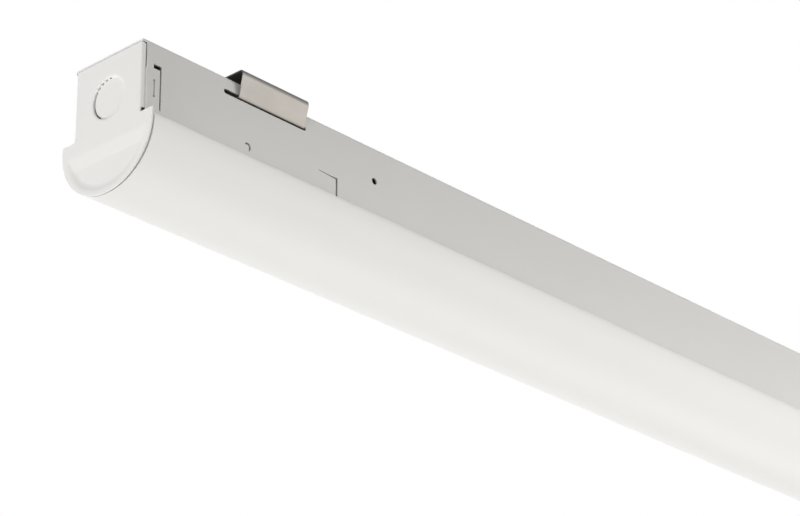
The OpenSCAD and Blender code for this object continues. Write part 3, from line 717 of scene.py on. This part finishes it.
# %% [markdown]
# ## The lens's legs
#
# The legs come out of the same extruder as the lens, in a harder white plastic. Each is a thin bar with a
# tip that is cut to a blade, so that it springs past the gear tray. A block does for the bar. Its two top
# edges get a wide bevel for the blade, and all others a narrow one.

# %% Legs
LEG_TIP_MM, LEG_EDGE_MM = 0.45, 0.08


def span(edge, axis):
    """How far an edge reaches along an axis (0 for X, 1 for Y, 2 for Z), in millimetres."""
    a, b = edge.verts
    return abs(a.co[axis] - b.co[axis]) / MM


def add_block(bm, low, high):
    """A block between two corners given in millimetres."""
    made = bmesh.ops.create_cube(bm, size=MM)["verts"]
    bmesh.ops.scale(bm, vec=[b - a for a, b in zip(low, high)], verts=made)
    bmesh.ops.translate(bm, vec=(point(*low) + point(*high)) / 2, verts=made)


leg_white = Finish("leg_acrylic", (0.85, 0.85, 0.84), 0.35)
leg_white.bump(leg_white.noise(0.8, (60, 1, 1), 2), 0.006)
leg_low, leg_high = cad_box_mm("lens_legs")
bm = bmesh.new()
add_block(bm, (leg_low[0], SHOULDER_REACH_MM, leg_low[2]), leg_high)
tips = [e for e in bm.edges if span(e, 0) > 1 and all(near(v.co.z / MM, leg_high[2]) for v in e.verts)]
round_edges(bm, tips, LEG_TIP_MM, 1)
soften(bm, LEG_EDGE_MM)
bmesh.ops.mirror(bm, geom=bm.verts[:] + bm.edges[:] + bm.faces[:], axis="Y")
bmesh.ops.recalc_face_normals(bm, faces=bm.faces)
make_piece(bm, "lens_leg_pair", "lens", "lens_legs", "leg_plastic", leg_white)


# %% [markdown]
# ## The mounting clips
#
# A clip is a strip of spring steel with wide bends at its top and tight ones at its hooks. Half of its
# outer outline is a few points, whose corners are rounded by a bevel of points. The steps that made a
# wall of the lens's outline make a sheet of this one, and a boolean cuts the three screw holes. Spring
# steel is darker and warmer than paint, with fine lines from rolling. Shade is painted into its colour:
# it grows dark and loses its metal sheen from partway up the wide bend over the whole top, and it is
# painted almost black at the foot of the hooks, where they go into the slots.

# %% Clips
CLIP_OUTLINE_MM = ((18.2, -8.2), (23.61, -8.2), (26.16, 1.9), (26.3, 5.5), (0, 5.5))
CLIP_SHEET_MM = 0.8
HOOK_BEND_MM, TOP_BEND_MM = 0.85, 2.5
CLIP_HOLES_MM = ((0, 4.8), (-13, 3.5), (13, 3.5))
# Heights between which shade is painted onto the clip, and how dark that painted shade is.
BEND_SHADE_FOOT_MM, BEND_SHADE_HEAD_MM = 1.9, 4.1
SLOT_HEAD_MM, SLOT_FOOT_MM = -7.9, -8.2
BEND_SHADE_LEVEL, SLOT_SHADE = 0.12, 0.06
SPRING_METALLIC = 0.85
BEND_STEPS, ROUND_STEPS = 6, 32
CLIP_EDGE_MM = 0.1


def bend(bm, place, reach):
    """Rounds the outline at one of its points, from reach before it to reach after it."""
    bmesh.ops.bevel(bm, geom=[place], affect="VERTICES", offset=reach * MM, segments=BEND_STEPS,
                    profile=0.5, material=-1)


def add_rod(bm, radius, length, place, sides=ROUND_STEPS):
    """A rod with its middle and its Z at the matrix place. A small number of sides gives a prism."""
    return bmesh.ops.create_cone(bm, cap_ends=True, segments=sides, radius1=radius * MM,
                                 radius2=radius * MM, depth=length * MM, matrix=place)["verts"]


def cut_out(bm, cutter):
    """The bmesh less the cutter, by a boolean. Both bmeshes are used up."""
    whole = add_to_scene("whole", mesh_of(bm, "whole"))
    tool = add_to_scene("tool", mesh_of(cutter, "tool"))
    boolean = whole.modifiers.new("cut", "BOOLEAN")
    boolean.operation, boolean.object, boolean.solver = "DIFFERENCE", tool, "EXACT"
    shaped = whole.evaluated_get(bpy.context.evaluated_depsgraph_get())
    result = bmesh.new()
    result.from_mesh(shaped.to_mesh())
    shaped.to_mesh_clear()
    for thing in (whole, tool):
        mesh = thing.data
        bpy.data.objects.remove(thing)
        bpy.data.meshes.remove(mesh)
    return result


def bent_clip(low_x, high_x):
    """A clip that runs from low_x to high_x along the fixture."""
    bm = bmesh.new()
    corners = [bm.verts.new(point(low_x, y, z)) for y, z in CLIP_OUTLINE_MM]
    for pair in zip(corners, corners[1:]):
        bm.edges.new(pair)
    hook, wide = corners[1], corners[3]
    bend(bm, hook, HOOK_BEND_MM)
    bend(bm, wide, TOP_BEND_MM)
    thick_skin(bm, high_x - low_x, CLIP_SHEET_MM)
    drills = bmesh.new()
    for y, width in CLIP_HOLES_MM:
        add_rod(drills, width / 2, 4 * CLIP_SHEET_MM, at((low_x + high_x) / 2, y, CLIP_OUTLINE_MM[-1][1]))
    bm = cut_out(bm, drills)
    join_flat(bm)
    soften(bm, CLIP_EDGE_MM)
    return bm


spring = Finish("spring_steel", (0.56, 0.53, 0.49), 0.36, Metallic=SPRING_METALLIC)
spring.tint(spring.noise(9, (2, 1, 1), 2), (0.545, 0.508, 0.466), (0.62, 0.583, 0.537))
# Painted shade: dark and without metal sheen from partway up the wide bend, nearly black at the hooks'
# foot.
painted_bend_shade = spring.spread(spring.height(), 0, 1, BEND_SHADE_FOOT_MM * MM, BEND_SHADE_HEAD_MM * MM)
slot_shade = spring.spread(spring.height(), 0, 1, SLOT_HEAD_MM * MM, SLOT_FOOT_MM * MM)
spring.darken(painted_bend_shade, BEND_SHADE_LEVEL)
spring.darken(slot_shade, SLOT_SHADE)
spring.drive("Metallic", spring.spread(painted_bend_shade, SPRING_METALLIC, 0, 0, 1))
spring.bump(spring.noise(0.3, (40, 1, 1), 2), 0.006)
spring.sheen_of(spring.noise(5), 0.32, 0.42)
for end in ("near", "far"):
    clip_low, clip_high = cad_box_mm(f"mounting_clip_{end}")
    make_piece(bent_clip(clip_low[0], clip_high[0]), f"clip_bent_{end}", f"clip_{end}",
               f"mounting_clip_{end}", "spring_steel", spring)


# %% [markdown]
# ## The gear tray and the lamp boards
#
# The tray has a whiter and shinier paint than the channel, because it throws light down into the lens.
# The boards lie under it in white solder mask, whose fine weave shows as a very shallow relief.

# %% Tray and boards
BOARD_COUNT = 4
TRAY_EDGE_MM, BOARD_EDGE_MM = 0.09, 0.1

tray_paint = Finish("tray_paint", (0.8, 0.8, 0.79), 0.3)
tray_paint.bump(tray_paint.noise(1.2, detail=2), 0.008)
tray_paint.sheen_of(tray_paint.noise(12), 0.29, 0.34)
soft_piece("tray_folded", "light_engine", "gear_tray", "tray_paint", tray_paint, TRAY_EDGE_MM)

mask = Finish("solder_mask", (0.84, 0.85, 0.86), 0.38)
mask.tint(mask.noise(5, (3, 1, 1)), (0.75, 0.765, 0.78), (0.78, 0.785, 0.795))
mask.bump(mask.noise(0.5), 0.006)
for number in range(1, BOARD_COUNT + 1):
    soft_piece(f"lamp_board_{number}", "light_engine", f"led_board_{number}", "board_white", mask,
               BOARD_EDGE_MM)


# %% [markdown]
# ## The lamps
#
# Each lamp is a white package with a window of yellow phosphor. One lamp is made from a block: its lower
# face is inset, which gives the window its rim, and the window is pulled out a little as a low dome. The
# other lamps of a board are copies, so each lamp has only a few dozen faces.

# %% Lamps
LAMPS_PER_BOARD = 24
LAMP_LENGTH_MM, LAMP_WIDTH_MM = 3.5, 2.8
LAMP_CORNER_MM = 0.2
WINDOW_RIM_MM = 0.32
DOME_MM, DOME_EDGE_MM = 0.06, 0.25

package = Finish("lamp_package", (0.86, 0.86, 0.84), 0.4)
package.sheen_of(package.noise(2), 0.36, 0.46)
phosphor = Finish("phosphor", (0.86, 0.68, 0.2), 0.32, Coat_Weight=0.4)
phosphor.tint(phosphor.noise(0.6), (0.82, 0.62, 0.16), (0.9, 0.74, 0.26))

for number in range(1, BOARD_COUNT + 1):
    low, high = cad_box_mm(f"led_chips_{number}")
    bm = bmesh.new()
    add_block(bm, (low[0], -LAMP_WIDTH_MM / 2, low[2] + DOME_MM),
              (low[0] + LAMP_LENGTH_MM, LAMP_WIDTH_MM / 2, high[2]))
    window = [f for f in bm.faces if f.normal.z < -FACING]
    bmesh.ops.inset_region(bm, faces=window, thickness=WINDOW_RIM_MM * MM, depth=0)
    dome = bmesh.ops.inset_region(bm, faces=window, thickness=DOME_EDGE_MM * MM, depth=DOME_MM * MM)
    for face in dome["faces"] + window:
        face.material_index = 1
    round_edges(bm, [e for e in bm.edges if span(e, 2) > 2 * DOME_MM], LAMP_CORNER_MM)
    one = bm.verts[:] + bm.edges[:] + bm.faces[:]
    pitch = (high[0] - low[0] - LAMP_LENGTH_MM) / (LAMPS_PER_BOARD - 1)
    for k in range(1, LAMPS_PER_BOARD):
        more = bmesh.ops.duplicate(bm, geom=one)["geom"]
        bmesh.ops.translate(bm, vec=point(k * pitch, 0, 0), verts=points_in(more))
    make_piece(bm, f"lamps_{number}", "light_engine", f"led_chips_{number}", "lamp_phosphor", package,
               phosphor)


# %% [markdown]
# ## Connectors and their pins
#
# A poke-in connector is a moulded block with two square mouths at one end and two sunk release buttons
# below. A cut down its middle halves the end face and the lower face, and inset and push then make the
# mouths and the buttons out of the halves. Bare pins join each board to the next.

# %% Connectors and pins
CONNECTOR_MM = (10, 9, 4)
CONNECTOR_TAPER_MM = 0.6
CONNECTOR_EDGE_MM = 0.12
MOUTH_RIM_MM, MOUTH_DRAFT_MM, MOUTH_DEPTH_MM = 0.75, 0.05, 2.5
BUTTON_RIM_MM, BUTTON_DRAFT_MM, BUTTON_DEPTH_MM = 1.1, 0.1, 0.3
PIN_RADIUS_MM, PIN_Y_MM, PIN_INSIDE_MM = 0.6, 2.2, 2.2
PIN_EDGE_MM, PIN_SIDES = 0.2, 16

nylon = Finish("white_nylon", (0.84, 0.84, 0.815), 0.42)
nylon.tint(nylon.noise(6), (0.82, 0.82, 0.79), (0.86, 0.86, 0.84))
nylon.bump(nylon.noise(0.4, detail=2), 0.01)


def sink(bm, faces, rim, draft, depth):
    """Leaves a rim on each face and sinks the rest of it, with walls that lean in by the draft."""
    bmesh.ops.inset_individual(bm, faces=faces, thickness=rim * MM, depth=0)
    bmesh.ops.inset_individual(bm, faces=faces, thickness=draft * MM, depth=-depth * MM)


def add_connector(bm, x_end, inward):
    """A connector whose mouths are at x_end and whose body runs inward, by 1 or -1 along X."""
    before = set(bm.verts)
    length, width, height = CONNECTOR_MM
    add_block(bm, (0, -width / 2, -height), (length, width / 2, 0))
    made = [v for v in bm.verts if v not in before]
    bmesh.ops.scale(bm, vec=(1, 1 - 2 * CONNECTOR_TAPER_MM / width, 1),
                    verts=[v for v in made if v.co.z < -height / 2 * MM])
    bmesh.ops.bisect_plane(bm, geom=touching(made), plane_co=(0, 0, 0), plane_no=(0, 1, 0))
    faces = {f for v in bm.verts if v not in before for f in v.link_faces}
    mouths = [f for f in faces if f.normal.x < -FACING]
    buttons = [f for f in faces if f.normal.z < -FACING]
    sink(bm, mouths, MOUTH_RIM_MM, MOUTH_DRAFT_MM, MOUTH_DEPTH_MM)
    sink(bm, buttons, BUTTON_RIM_MM, BUTTON_DRAFT_MM, BUTTON_DEPTH_MM)
    made = [v for v in bm.verts if v not in before]
    bmesh.ops.scale(bm, vec=(inward, 1, 1), verts=made)
    bmesh.ops.translate(bm, vec=point(x_end, 0, board_under), verts=made)


boards = [cad_box_mm(f"led_board_{n}") for n in range(1, BOARD_COUNT + 1)]
board_under = boards[0][0][2]
bm = bmesh.new()
for low, high in boards:
    add_connector(bm, low[0], 1)
    add_connector(bm, high[0], -1)
bmesh.ops.recalc_face_normals(bm, faces=bm.faces)
soften(bm, CONNECTOR_EDGE_MM)
make_piece(bm, "poke_in_connectors", "light_engine", "board_connectors", "white_plastic", nylon)

tin = Finish("tinned_pin", (0.72, 0.71, 0.69), 0.25, Metallic=1)
tin.sheen_of(tin.noise(1.5), 0.2, 0.34)
bm = bmesh.new()
for (_, left), (right, _) in zip(boards, boards[1:]):
    for y in (-PIN_Y_MM, PIN_Y_MM):
        length = right[0] - left[0] + 2 * PIN_INSIDE_MM
        place = at((left[0] + right[0]) / 2, y, board_under - CONNECTOR_MM[2] / 2)
        add_rod(bm, PIN_RADIUS_MM, length, place @ Matrix.Rotation(math.pi / 2, 4, "Y"), PIN_SIDES)
soften(bm, PIN_EDGE_MM)
make_piece(bm, "board_pins", "light_engine", "board_jumpers", "wire_white", tin)


# %% [markdown]
# ## Turned pieces
#
# Rivets, bushings and screw heads are round, so each is half an outline that is spun once around. The
# spin closes on itself by merging, and points that fall together on the axis are merged afterwards.

# %% A helper that turns an outline
def add_turned(bm, outline, place, closed=False):
    """Spins (radius, height) points in millimetres about Z, then moves the result by the matrix place."""
    before = set(bm.verts)
    points = [bm.verts.new(point(radius, 0, height)) for radius, height in outline]
    pairs = list(zip(points, points[1:])) + ([(points[-1], points[0])] if closed else [])
    edges = [bm.edges.new(pair) for pair in pairs]
    bmesh.ops.spin(bm, geom=points + edges, cent=(0, 0, 0), axis=(0, 0, 1), angle=2 * math.pi,
                   steps=ROUND_STEPS, use_merge=True)
    made = [v for v in bm.verts if v not in before]
    bmesh.ops.remove_doubles(bm, verts=made, dist=WELD_MM * MM)
    made = [v for v in bm.verts if v not in before]
    bmesh.ops.recalc_face_normals(bm, faces=list({f for v in made for f in v.link_faces}))
    bmesh.ops.transform(bm, matrix=place, verts=made)
    return made


# %% Rivets and bushings
rubber = Finish("grey_rubber", (0.07, 0.07, 0.072), 0.6)
rubber.bump(rubber.noise(0.6), 0.015)
rubber.sheen_of(rubber.noise(3), 0.52, 0.7)

RIVET_X_MM = (-544, -30, 30, 544)
RIVET_Y_MM = -5.6
web_under, web_top = boards[0][1][2], cad_box_mm("driver_base")[0][2]
grip = web_top - board_under
rivet = [(0, -1.0), (1.2, -1.0), (2.0, -0.85), (2.6, -0.5), (2.8, -0.12), (2.7, 0), (1.45, 0),
         (1.45, grip), (1.75, grip + 0.25), (1.6, grip + 0.8), (0.9, grip + 1.5), (0, grip + 1.5)]
bm = bmesh.new()
for x in RIVET_X_MM:
    add_turned(bm, rivet, at(x, RIVET_Y_MM, board_under))
make_piece(bm, "snap_rivets", "light_engine", "board_rivets", "white_plastic", nylon)

FEED_X_MM = 589.5
RUBBER_EDGE_MM = 0.25
bushing = [(3.35, -1.0), (5.3, -1.0), (5.5, -0.8), (5.5, -0.1), (5.4, 0), (4.42, 0), (4.42, 0.6),
           (4.85, 0.9), (4.7, 1.35), (4.4, 1.6), (3.35, 1.6), (3.15, 1.3), (3.15, -0.7)]
bm = bmesh.new()
add_turned(bm, bushing, at(FEED_X_MM, 0, web_under), closed=True)
make_piece(bm, "web_bushing", "light_engine", "tray_bushing", "grey_rubber", rubber)
soft_piece("port_bushings", "light_engine", "driver_bushings", "grey_rubber", rubber, RUBBER_EDGE_MM)


# %% [markdown]
# ## Screws
#
# The driver is held by two pan head screws, and the ground wire by a green one with a hexagon and a
# flange. The cross in a head is made where the head is flat: planes cut the cap into strips, and the
# strips that form a cross are pushed down.

# %% Screws
CROSS_HALF_MM, CROSS_REACH_MM, CROSS_DEPTH_MM = 0.42, 1.9, 0.9
CROSS_DRAFT_MM = 0.02


def cut_cross(bm, made):
    """Sinks a cross into the flat top of the head whose points are in made, before the head is placed."""
    top = max(v.co.z for v in made) / MM
    for axis in ((1, 0, 0), (0, 1, 0)):
        for offset in (-CROSS_REACH_MM, -CROSS_HALF_MM, CROSS_HALF_MM, CROSS_REACH_MM):
            cap = [f for f in bm.faces if near(f.calc_center_median().z / MM, top)]
            geom = cap + list({e for f in cap for e in f.edges}) + list({v for f in cap for v in f.verts})
            bmesh.ops.bisect_plane(bm, geom=geom, plane_co=Vector(axis) * offset * MM, plane_no=axis)
    arms = []
    for face in bm.faces:
        middle = face.calc_center_median() / MM
        narrow, wide = sorted((abs(middle.x), abs(middle.y)))
        if near(middle.z, top) and narrow < CROSS_HALF_MM and wide < CROSS_REACH_MM:
            arms.append(face)
    bmesh.ops.inset_region(bm, faces=arms, thickness=CROSS_DRAFT_MM * MM, depth=-CROSS_DEPTH_MM * MM)


def add_screw(bm, outline, place):
    """A turned screw with a cross in its flat top."""
    head = bmesh.new()
    made = add_turned(head, outline, Matrix.Identity(4))
    cut_cross(head, made)
    bmesh.ops.transform(head, matrix=place, verts=head.verts)
    mesh = mesh_of(head, "screw")
    bm.from_mesh(mesh)
    bpy.data.meshes.remove(mesh)


zinc = Finish("zinc_plate", (0.66, 0.67, 0.67), 0.3, Metallic=1)
zinc.tint(zinc.noise(2.5), (0.6, 0.61, 0.6), (0.72, 0.73, 0.74))
zinc.sheen_of(zinc.noise(1), 0.24, 0.38)

EAR_X_MM, EAR_Y_MM, EAR_SHEET_MM = 146, 12, 0.7
driver_low, driver_high = cad_box_mm("driver_base")
driver_x = (driver_low[0] + driver_high[0]) / 2
pan = [(0, -3.3), (1.1, -3.3), (1.5, -2.6), (1.5, 0), (3.55, 0), (3.6, 0.5), (3.35, 1.3), (2.8, 1.85),
       (2.3, 2.1), (2.0, 2.2), (0, 2.2)]
bm = bmesh.new()
for side in (-1, 1):
    add_screw(bm, pan, at(driver_x + side * EAR_X_MM, side * EAR_Y_MM, web_top + EAR_SHEET_MM))
make_piece(bm, "pan_head_screws", "light_engine", "driver_screws", "screw_steel", zinc)

green = Finish("green_screw", (0.05, 0.3, 0.14), 0.32, Metallic=0.6)
green.tint(green.noise(2), (0.04, 0.25, 0.11), (0.07, 0.36, 0.17))
ground_low, ground_high = cad_box_mm("ground_screw")
ground_x = (ground_low[0] + ground_high[0]) / 2
HEX_RADIUS_MM = 4 / math.cos(math.pi / 6)
HEX_HEAD_MM, HEX_EDGE_MM = 3.4, 0.15
foot = ground_low[2] - ground_high[2] + HEX_HEAD_MM
bm = bmesh.new()
hexagon = add_rod(bm, HEX_RADIUS_MM, HEX_HEAD_MM, at(0, 0, HEX_HEAD_MM / 2), 6)
cut_cross(bm, hexagon)
soften(bm, HEX_EDGE_MM)
flange = [(0, 0), (4.6, 0), (4.8, -0.2), (4.8, -0.85), (4.6, -1.0), (2.1, -1.0), (2.1, foot + 0.6),
          (1.5, foot), (0, foot)]
add_turned(bm, flange, Matrix.Identity(4))
upside_down = at(ground_x, 0, ground_low[2] + HEX_HEAD_MM) @ Matrix.Rotation(math.pi, 4, "X")
bmesh.ops.transform(bm, matrix=upside_down, verts=bm.verts)
make_piece(bm, "ground_screw_green", "housing", "ground_screw", "green_screw", green)


# %% [markdown]
# ## The driver
#
# The driver's case is bare aluminium sheet, a pan with a cover over it. Its faint lengthwise grain comes
# from noise that is stretched along the sheet.

# %% Driver
PAN_EDGE_MM = 0.1
LID_EDGE_MM, LID_EDGE_STEPS = 0.5, 4

bare = Finish("bare_sheet", (0.68, 0.69, 0.7), 0.36, Metallic=1)
bare.tint(bare.noise(20, (2, 1, 1)), (0.64, 0.65, 0.66), (0.72, 0.73, 0.74))
bare.bump(bare.noise(0.35, (50, 1, 1), 2), 0.006)
bare.sheen_of(bare.noise(8), 0.3, 0.42)
soft_piece("driver_pan", "light_engine", "driver_base", "driver_metal", bare, PAN_EDGE_MM)
soft_piece("driver_lid", "light_engine", "driver_cover", "driver_metal", bare, LID_EDGE_MM, LID_EDGE_STEPS)


# %% [markdown]
# ## The leads
#
# A lead is a smooth tube. Its route is a short list of points, and a Catmull-Rom curve runs through every
# one of them, the same curve as in the solids. A curve object with a round bevel gives the tube, which
# is then made a mesh.

# %% Leads
LEAD_RADIUS_MM, LEAD_LIFT_MM = 1.25, 0.3
CURVE_STEPS, TUBE_STEPS = 8, 6
LEAD_STRAIGHT_MM, LEAD_DROP_MM, DROP_SHARE = 4.5, 34, 0.65
LEAD_LOOP_MM, LEAD_CROSS_MM, LEAD_GATHER_MM = 6, 72, 30
LEAD_Y_MM, LEAD_SIDE_MM, FEED_Y_MM = 2.6, 4, 1.6
PORT_HEIGHT_MM = 7.5
DISCONNECT_X_MM, PLUG_HEIGHT_MM = -66, 9
rest_z = web_top + LEAD_RADIUS_MM + LEAD_LIFT_MM
RISE = ((-3.2, 0), (-1.8, 0.5), (-0.7, 0.85), (-0.1, 0.55))
TURN_BACK = ((-0.25, -0.9), (-1, -1.25), (-2, -0.75))


def smooth_route(route):
    """Points of a Catmull-Rom curve through the route, in millimetres."""
    ends = [Vector(route[0])] + [Vector(p) for p in route] + [Vector(route[-1])]
    points = []
    for a, b, c, d in zip(ends, ends[1:], ends[2:], ends[3:]):
        for k in range(CURVE_STEPS):
            f = k / CURVE_STEPS
            points.append(0.5 * (2 * b + (c - a) * f + (2 * a - 5 * b + 4 * c - d) * f * f
                                 + (3 * b - a - 3 * c + d) * f ** 3))
    return points + [ends[-1]]


def leave_port(x, y, z, way, y_rest):
    """The route of a lead that leaves a port straight and drops to the tray's web."""
    return [(x, y, z), (x + way * LEAD_STRAIGHT_MM, y, z), (x + 2 * way * LEAD_STRAIGHT_MM, y, z),
            (x + way * LEAD_DROP_MM * DROP_SHARE, (y + y_rest) / 2, rest_z + LEAD_RADIUS_MM),
            (x + way * LEAD_DROP_MM, y_rest, rest_z), (x + 2 * way * LEAD_DROP_MM, y_rest, rest_z)]


def make_lead(name, node, slot_name, route, colour):
    """A tube along the route, as a finished piece with insulation of that colour."""
    curve = bpy.data.curves.new(name, "CURVE")
    curve.dimensions = "3D"
    curve.bevel_depth = LEAD_RADIUS_MM * MM
    curve.bevel_resolution = TUBE_STEPS
    curve.use_fill_caps = True
    line = curve.splines.new("POLY")
    points = smooth_route(route)
    line.points.add(len(points) - 1)
    for place, p in zip(line.points, points):
        place.co = (*point(*p), 1)
    holder = add_to_scene(name, curve)
    mesh = bpy.data.meshes.new_from_object(holder)
    bpy.data.objects.remove(holder)
    bpy.data.curves.remove(curve)
    bm = bmesh.new()
    bm.from_mesh(mesh)
    bpy.data.meshes.remove(mesh)
    bmesh.ops.remove_doubles(bm, verts=bm.verts, dist=WELD_MM * MM)
    bmesh.ops.recalc_face_normals(bm, faces=bm.faces)
    insulation = Finish(f"insulation_{name}", colour, 0.38)
    insulation.bump(insulation.noise(0.7), 0.01)
    insulation.sheen_of(insulation.noise(4), 0.32, 0.46)
    make_piece(bm, f"lead_{name}", "light_engine", node, slot_name, insulation)


driver_case_low, driver_case_high = cad_box_mm("driver_cover")
port_z = web_top + PORT_HEIGHT_MM
for name, slot_name, colour, y, y_rest in (
        ("black", "wire_black", (0.02, 0.02, 0.021), LEAD_Y_MM, LEAD_Y_MM + LEAD_SIDE_MM),
        ("white", "wire_white", (0.82, 0.82, 0.8), -LEAD_Y_MM, LEAD_Y_MM)):
    out = leave_port(driver_case_low[0], y, port_z, -1, y_rest)
    into = leave_port(DISCONNECT_X_MM, y, web_top + PLUG_HEIGHT_MM / 2, 1, y_rest)
    make_lead(name, f"line_lead_{name}", slot_name, out + into[::-1], colour)

last_board_end = boards[-1][1][0]
pole_z = board_under - CONNECTOR_MM[2] / 2
for name, slot_name, colour, side, y_rest in (
        ("red", "wire_red", (0.55, 0.02, 0.018), 1, LEAD_Y_MM + LEAD_SIDE_MM),
        ("blue", "wire_blue", (0.02, 0.075, 0.42), -1, LEAD_Y_MM)):
    y_feed = side * FEED_Y_MM
    route = leave_port(driver_case_high[0], side * LEAD_Y_MM, port_z, 1, y_rest)
    route += [(FEED_X_MM - LEAD_CROSS_MM, y_rest, rest_z), (FEED_X_MM - LEAD_GATHER_MM, y_feed, rest_z)]
    route += [(FEED_X_MM + a * LEAD_LOOP_MM, y_feed, rest_z + b * LEAD_LOOP_MM) for a, b in RISE]
    route += [(FEED_X_MM, y_feed, web_top), (FEED_X_MM, y_feed, web_under - 1)]
    route += [(FEED_X_MM + a * LEAD_LOOP_MM, y_feed, web_under + b * LEAD_LOOP_MM) for a, b in TURN_BACK]
    route += [(last_board_end + k * LEAD_STRAIGHT_MM, side * PIN_Y_MM, pole_z) for k in (1, 0.5, 0)]
    make_lead(name, f"output_lead_{name}", slot_name, route, colour)


# %% [markdown]
# ## The disconnect
#
# The disconnect is a pair of small nylon mouldings with brass contacts. Copies of the solids with well
# rounded edges are true to them.

# %% Disconnect
PLUG_EDGE_MM, SOCKET_EDGE_MM, BLADE_EDGE_MM = 0.3, 0.25, 0.15
MOULD_STEPS = 3

orange = Finish("orange_nylon", (0.8, 0.25, 0.03), 0.4)
orange.bump(orange.noise(0.4, detail=2), 0.01)
orange.sheen_of(orange.noise(3), 0.34, 0.48)
brass = Finish("contact_brass", (0.78, 0.56, 0.22), 0.28, Metallic=1)
brass.sheen_of(brass.noise(1.5), 0.22, 0.36)
soft_piece("plug_half", "light_engine", "disconnect_plug", "orange_plastic", orange, PLUG_EDGE_MM,
           MOULD_STEPS)
soft_piece("socket_half", "socket", "disconnect_socket", "white_plastic", nylon, SOCKET_EDGE_MM,
           MOULD_STEPS)
soft_piece("contact_blades", "light_engine", "disconnect_contacts", "contact_brass", brass, BLADE_EDGE_MM,
           MOULD_STEPS)
